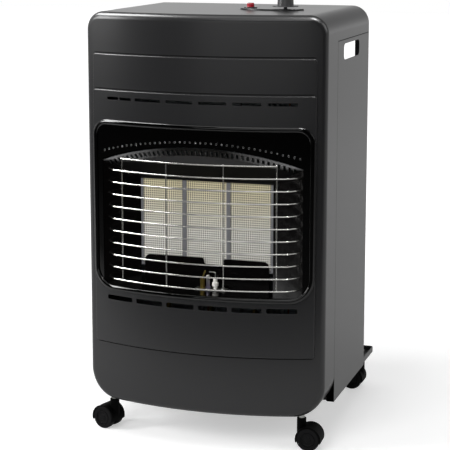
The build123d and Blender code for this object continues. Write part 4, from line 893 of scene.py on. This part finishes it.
for side in (-1, 1):
    for z in SEAM_SCREW_HEIGHTS:
        screw_places.append(Matrix.Translation((side * SIDE_SCREW_X, seam_y, z)) @ heads_back)
    screw_places.append(Matrix.Translation((side * TOP_SCREW_X, seam_y, TOP_SCREW_Z)) @ heads_back)
    for y in FLANGE_SCREW_YS:
        for z in (COVER_FOOT - SHEET, PANEL_FOOT):
            screw_places.append(Matrix.Translation((side * SIDE_SCREW_X, y, z)) @ heads_down)
    screw_places.append(Matrix.Translation((side * SHIELD_SCREW_X, SHIELD_SCREW_Y, TRAY_FLOOR + SHEET)))
screw_places.append(Matrix.Translation((PILOT_SCREW_X, PILOT_SCREW_Y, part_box("pilot_bracket")[1][2])))
set_out(screw, screw_places, "recessed_screws", "clear_zinc_plate")
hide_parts("cabinet_screws")

# Moulded ring and boss in the hub recess of each castor wheel.
AXLE_TRAIL = 14 * MM            # from the stem
AXLE_HEIGHT = 20 * MM
RECESS_FLOOR = 16.5 * MM        # from the middle of the castor
HUB_RADIUS, HUB_BASE = 11.4 * MM, 0.4 * MM
# Each step is an inset and a rise: outer wall, face and inner wall of the ring, web, boss and its crown.
HUB_STEPS = (
    (0.4 * MM, 0.5 * MM),
    (0.9 * MM, 0.0),
    (0.4 * MM, -0.5 * MM),
    (4.6 * MM, 0.0),
    (0.4 * MM, 0.5 * MM),
    (0.7 * MM, 0.1 * MM),
)
hub = start_piece(
    bpy.ops.mesh.primitive_cylinder_add,
    vertices=32,
    radius=HUB_RADIUS,
    depth=HUB_BASE,
    location=(0, 0, HUB_BASE / 2),
)
lay_in_place(hub)
bpy.ops.object.mode_set(mode="EDIT")
bpy.ops.mesh.select_mode(type="FACE")
bpy.ops.mesh.select_all(action="DESELECT")
shape = bmesh.from_edit_mesh(hub.data)
for face in shape.faces:
    face.select = face.normal.z > 0.9
bmesh.update_edit_mesh(hub.data)
for inward, up in HUB_STEPS:
    bpy.ops.mesh.inset(thickness=inward)
    bpy.ops.transform.translate(value=(0, 0, up))
bpy.ops.object.mode_set(mode="OBJECT")
for corner, (x, y, heading) in CASTORS.items():
    trail = Vector((math.cos(math.radians(heading)), math.sin(math.radians(heading)), 0))
    axle = Vector((trail.y, -trail.x, 0))
    upward = Vector((0, 0, 1))
    for side, outward in (("a", -axle), ("b", axle)):
        middle = Vector((x, y, AXLE_HEIGHT)) + AXLE_TRAIL * trail + RECESS_FLOOR * outward
        turned = Matrix((upward.cross(outward), upward, outward)).transposed().to_4x4()
        piece = copy_to(hub, Matrix.Translation(middle) @ turned)
        hand_over(piece, f"hub_{corner}_{side}", "grey_nylon", f"wheel_{corner}_{side}")
bpy.data.objects.remove(hub)

# Numbers printed round the knob, on the cover or, for the last, on the escutcheon.
KNOB_X, KNOB_Y = 104 * MM, -43.75 * MM
DIGIT_SIZE = 5 * MM
INK = 0.04 * MM                 # half of the ink's thickness
INK_LIFT = 0.05 * MM
DIAL = (                        # degrees from the front, distance from the knob's middle, and face
    (0, 28 * MM, COVER_TOP),
    (75, 31 * MM, COVER_TOP),
    (150, 28 * MM, COVER_TOP),
    (225, 24.4 * MM, ESCUTCHEON_FACE),
)
for number, (angle, reach, printed_on) in enumerate(DIAL):
    turn = math.radians(angle)
    bpy.ops.object.select_all(action="DESELECT")
    bpy.ops.object.text_add()
    digit = bpy.context.object
    digit.data.body = str(number)
    digit.data.size = DIGIT_SIZE
    digit.data.extrude = INK
    digit.data.align_x = "CENTER"
    digit.data.align_y = "CENTER"
    bpy.ops.object.convert(target="MESH")
    digit = bpy.context.object
    digit.location = (
        KNOB_X + reach * math.sin(turn),
        KNOB_Y - reach * math.cos(turn),
        printed_on + INK_LIFT,
    )
    hand_over(digit, f"dial_number_{number}", "white_screen_print")

# ------------------------------------------------------------------ floor and light
# Matt white floor with the heater's shadow, as the camera sees it. All other rays find black cloth in front
# of the heater, and gloss finds the floor greyer towards it, so that the dark finishes stay dark.
FLOOR_SIZE = 24.0
NEAR_HEATER = 0.4               # from the heater's middle, where the floor starts to pale
WHITE_FROM = 1.5                # from the heater's middle, where the camera finds it white
GREY_UNTIL = 3.0                # from the heater's middle, where gloss finds it nearly white
MIRRORED_FLOOR = 0.5            # extra light that gloss finds in it
CLOTH_FULL, CLOTH_END = -0.9, -0.35             # Y
tree, shader, coords = start_material("white_floor", "#e6e6e6", 0.9)
paths = add_node(tree, "ShaderNodeLightPath")
camera_ray, glossy_ray = paths.outputs["Is Camera Ray"], paths.outputs["Is Glossy Ray"]
away = add_node(tree, "ShaderNodeVectorMath", {0: coords}, operation="LENGTH")
brighter = add_node(
    tree,
    "ShaderNodeMapRange",
    {
        "Value": away.outputs["Value"],
        "From Min": NEAR_HEATER,
        "From Max": WHITE_FROM,
        "To Min": 0.45,
        "To Max": 1.0,
    },
)
seen = add_node(
    tree, "ShaderNodeMath", {0: camera_ray, 1: brighter.outputs["Result"]}, operation="MULTIPLY"
)
mirrored = add_node(tree, "ShaderNodeMath", {0: glossy_ray, 1: MIRRORED_FLOOR}, operation="MULTIPLY")
lift = add_node(
    tree, "ShaderNodeMath", {0: seen.outputs["Value"], 1: mirrored.outputs["Value"]}, operation="ADD"
)
place = add_node(tree, "ShaderNodeSeparateXYZ", {"Vector": coords})
ahead = add_node(
    tree,
    "ShaderNodeMapRange",
    {
        "Value": place.outputs["Y"],
        "From Min": CLOTH_FULL,
        "From Max": CLOTH_END,
        "To Min": 1.0,
        "To Max": 0.0,
    },
)
unseen = add_node(tree, "ShaderNodeMath", {0: 1.0, 1: camera_ray}, operation="SUBTRACT")
cloth = add_node(
    tree, "ShaderNodeMath", {0: ahead.outputs["Result"], 1: unseen.outputs["Value"]}, operation="MULTIPLY"
)
near = add_node(
    tree,
    "ShaderNodeMapRange",
    {
        "Value": away.outputs["Value"],
        "From Min": NEAR_HEATER,
        "From Max": GREY_UNTIL,
        "To Min": 0.5,
        "To Max": 0.1,
    },
)
grey = add_node(tree, "ShaderNodeMath", {0: glossy_ray, 1: near.outputs["Result"]}, operation="MULTIPLY")
flagged = add_node(
    tree, "ShaderNodeMath", {0: cloth.outputs["Value"], 1: grey.outputs["Value"]}, operation="MAXIMUM"
)
open_floor = add_node(tree, "ShaderNodeMath", {0: 1.0, 1: flagged.outputs["Value"]}, operation="SUBTRACT")
glow = add_node(
    tree, "ShaderNodeMath", {0: lift.outputs["Value"], 1: open_floor.outputs["Value"]}, operation="MULTIPLY"
)
tree.links.new(glow.outputs["Value"], shader.inputs["Emission Strength"])
shader.inputs["Emission Color"].default_value = (1.0, 1.0, 1.0, 1.0)
shade = add_node(
    tree,
    "ShaderNodeMix",
    {FACTOR: flagged.outputs["Value"], COLOUR_A: linear("#e6e6e6"), COLOUR_B: linear("#0b0b0b")},
    data_type="RGBA",
)
tree.links.new(shade.outputs[MIXED], shader.inputs["Base Color"])

bpy.ops.object.select_all(action="DESELECT")
bpy.ops.mesh.primitive_plane_add(size=FLOOR_SIZE, location=(0, 0, 0))
floor = bpy.context.object
floor.name = "studio_floor"
floor.data.materials.append(bpy.data.materials["white_floor"])

# White room behind the heater. It is almost dark on the camera's side, and dimmer overhead and to the upper
# right, which shapes the cover's shoulder. The camera itself sees plain white.
CAMERA_SIDE, FAR_SIDE = -0.5, 0.3               # of a direction's Y
DARK_ROOM = 0.015
LEAN = 0.4                      # of the dim part overhead, towards the right
DIM_START, DIM_FULL = 0.04, 0.25                # heights of a direction, leaning
DIM_ROOM = 0.3
world = bpy.data.worlds.new("studio_room")
bpy.context.scene.world = world
world.use_nodes = True
tree = world.node_tree
background = tree.nodes["Background"]
direction = add_node(tree, "ShaderNodeTexCoord").outputs["Generated"]
axes = add_node(tree, "ShaderNodeSeparateXYZ", {"Vector": direction})
behind = add_node(
    tree,
    "ShaderNodeMapRange",
    {
        "Value": axes.outputs["Y"],
        "From Min": CAMERA_SIDE,
        "From Max": FAR_SIDE,
        "To Min": DARK_ROOM,
        "To Max": 1.0,
    },
)
towards = add_node(
    tree,
    "ShaderNodeMath",
    {0: axes.outputs["X"], 1: LEAN, 2: axes.outputs["Z"]},
    operation="MULTIPLY_ADD",
)
shaded = add_node(
    tree,
    "ShaderNodeMapRange",
    {
        "Value": towards.outputs["Value"],
        "From Min": DIM_START,
        "From Max": DIM_FULL,
        "To Min": 1.0,
        "To Max": DIM_ROOM,
    },
)
room = add_node(
    tree, "ShaderNodeMath", {0: behind.outputs["Result"], 1: shaded.outputs["Result"]}, operation="MULTIPLY"
)
paths = add_node(tree, "ShaderNodeLightPath")
brightness = add_node(
    tree,
    "ShaderNodeMath",
    {0: room.outputs["Value"], 1: paths.outputs["Is Camera Ray"]},
    operation="MAXIMUM",
)
tree.links.new(brightness.outputs["Value"], background.inputs["Strength"])
background.inputs["Color"].default_value = (1.0, 1.0, 1.0, 1.0)


def soft_light(name, place, aim, size, power, fills=True, mirrored=True):
    """Softbox that faces a point; it may only fill in, or only show where a surface mirrors it."""
    light = bpy.data.lights.new(name, "AREA")
    light.shape = "RECTANGLE"
    light.size, light.size_y = size
    light.energy = power
    lamp = bpy.data.objects.new(name, light)
    lamp.location = place
    lamp.rotation_euler = (Vector(aim) - Vector(place)).to_track_quat("-Z", "Y").to_euler()
    lamp.visible_diffuse = fills
    lamp.visible_glossy = mirrored
    bpy.context.scene.collection.objects.link(lamp)


soft_light("front_fill", (-0.6, -2.6, 1.7), (0, 0, 0.4), (1.4, 1.4), 40, mirrored=False)
soft_light("left_strip", (-2.2, -1.25, 1.35), (0, 0, 0.6), (0.6, 1.1), 38)
soft_light("left_top_softbox", (-1.45, -0.15, 2.3), (0, 0, 0.5), (0.9, 1.0), 65, fills=False)
soft_light("right_top_softbox", (0.95, -0.5, 2.35), (0, 0, 0.5), (0.6, 0.6), 45, fills=False)
soft_light("front_top_softbox", (0.35, -1.8, 2.2), (0, 0, 0.5), (1.6, 0.6), 9, fills=False)
soft_light("front_softbox", (0.25, -3.2, 0.9), (0, 0, 0.6), (2.7, 0.7), 9)
soft_light("right_softbox", (2.2, 0.2, 1.5), (0, 0, 0.6), (1.2, 1.2), 12)
soft_light("top_softbox", (0.0, -0.5, 2.6), (0, -0.1, 0.6), (2.2, 1.6), 16)
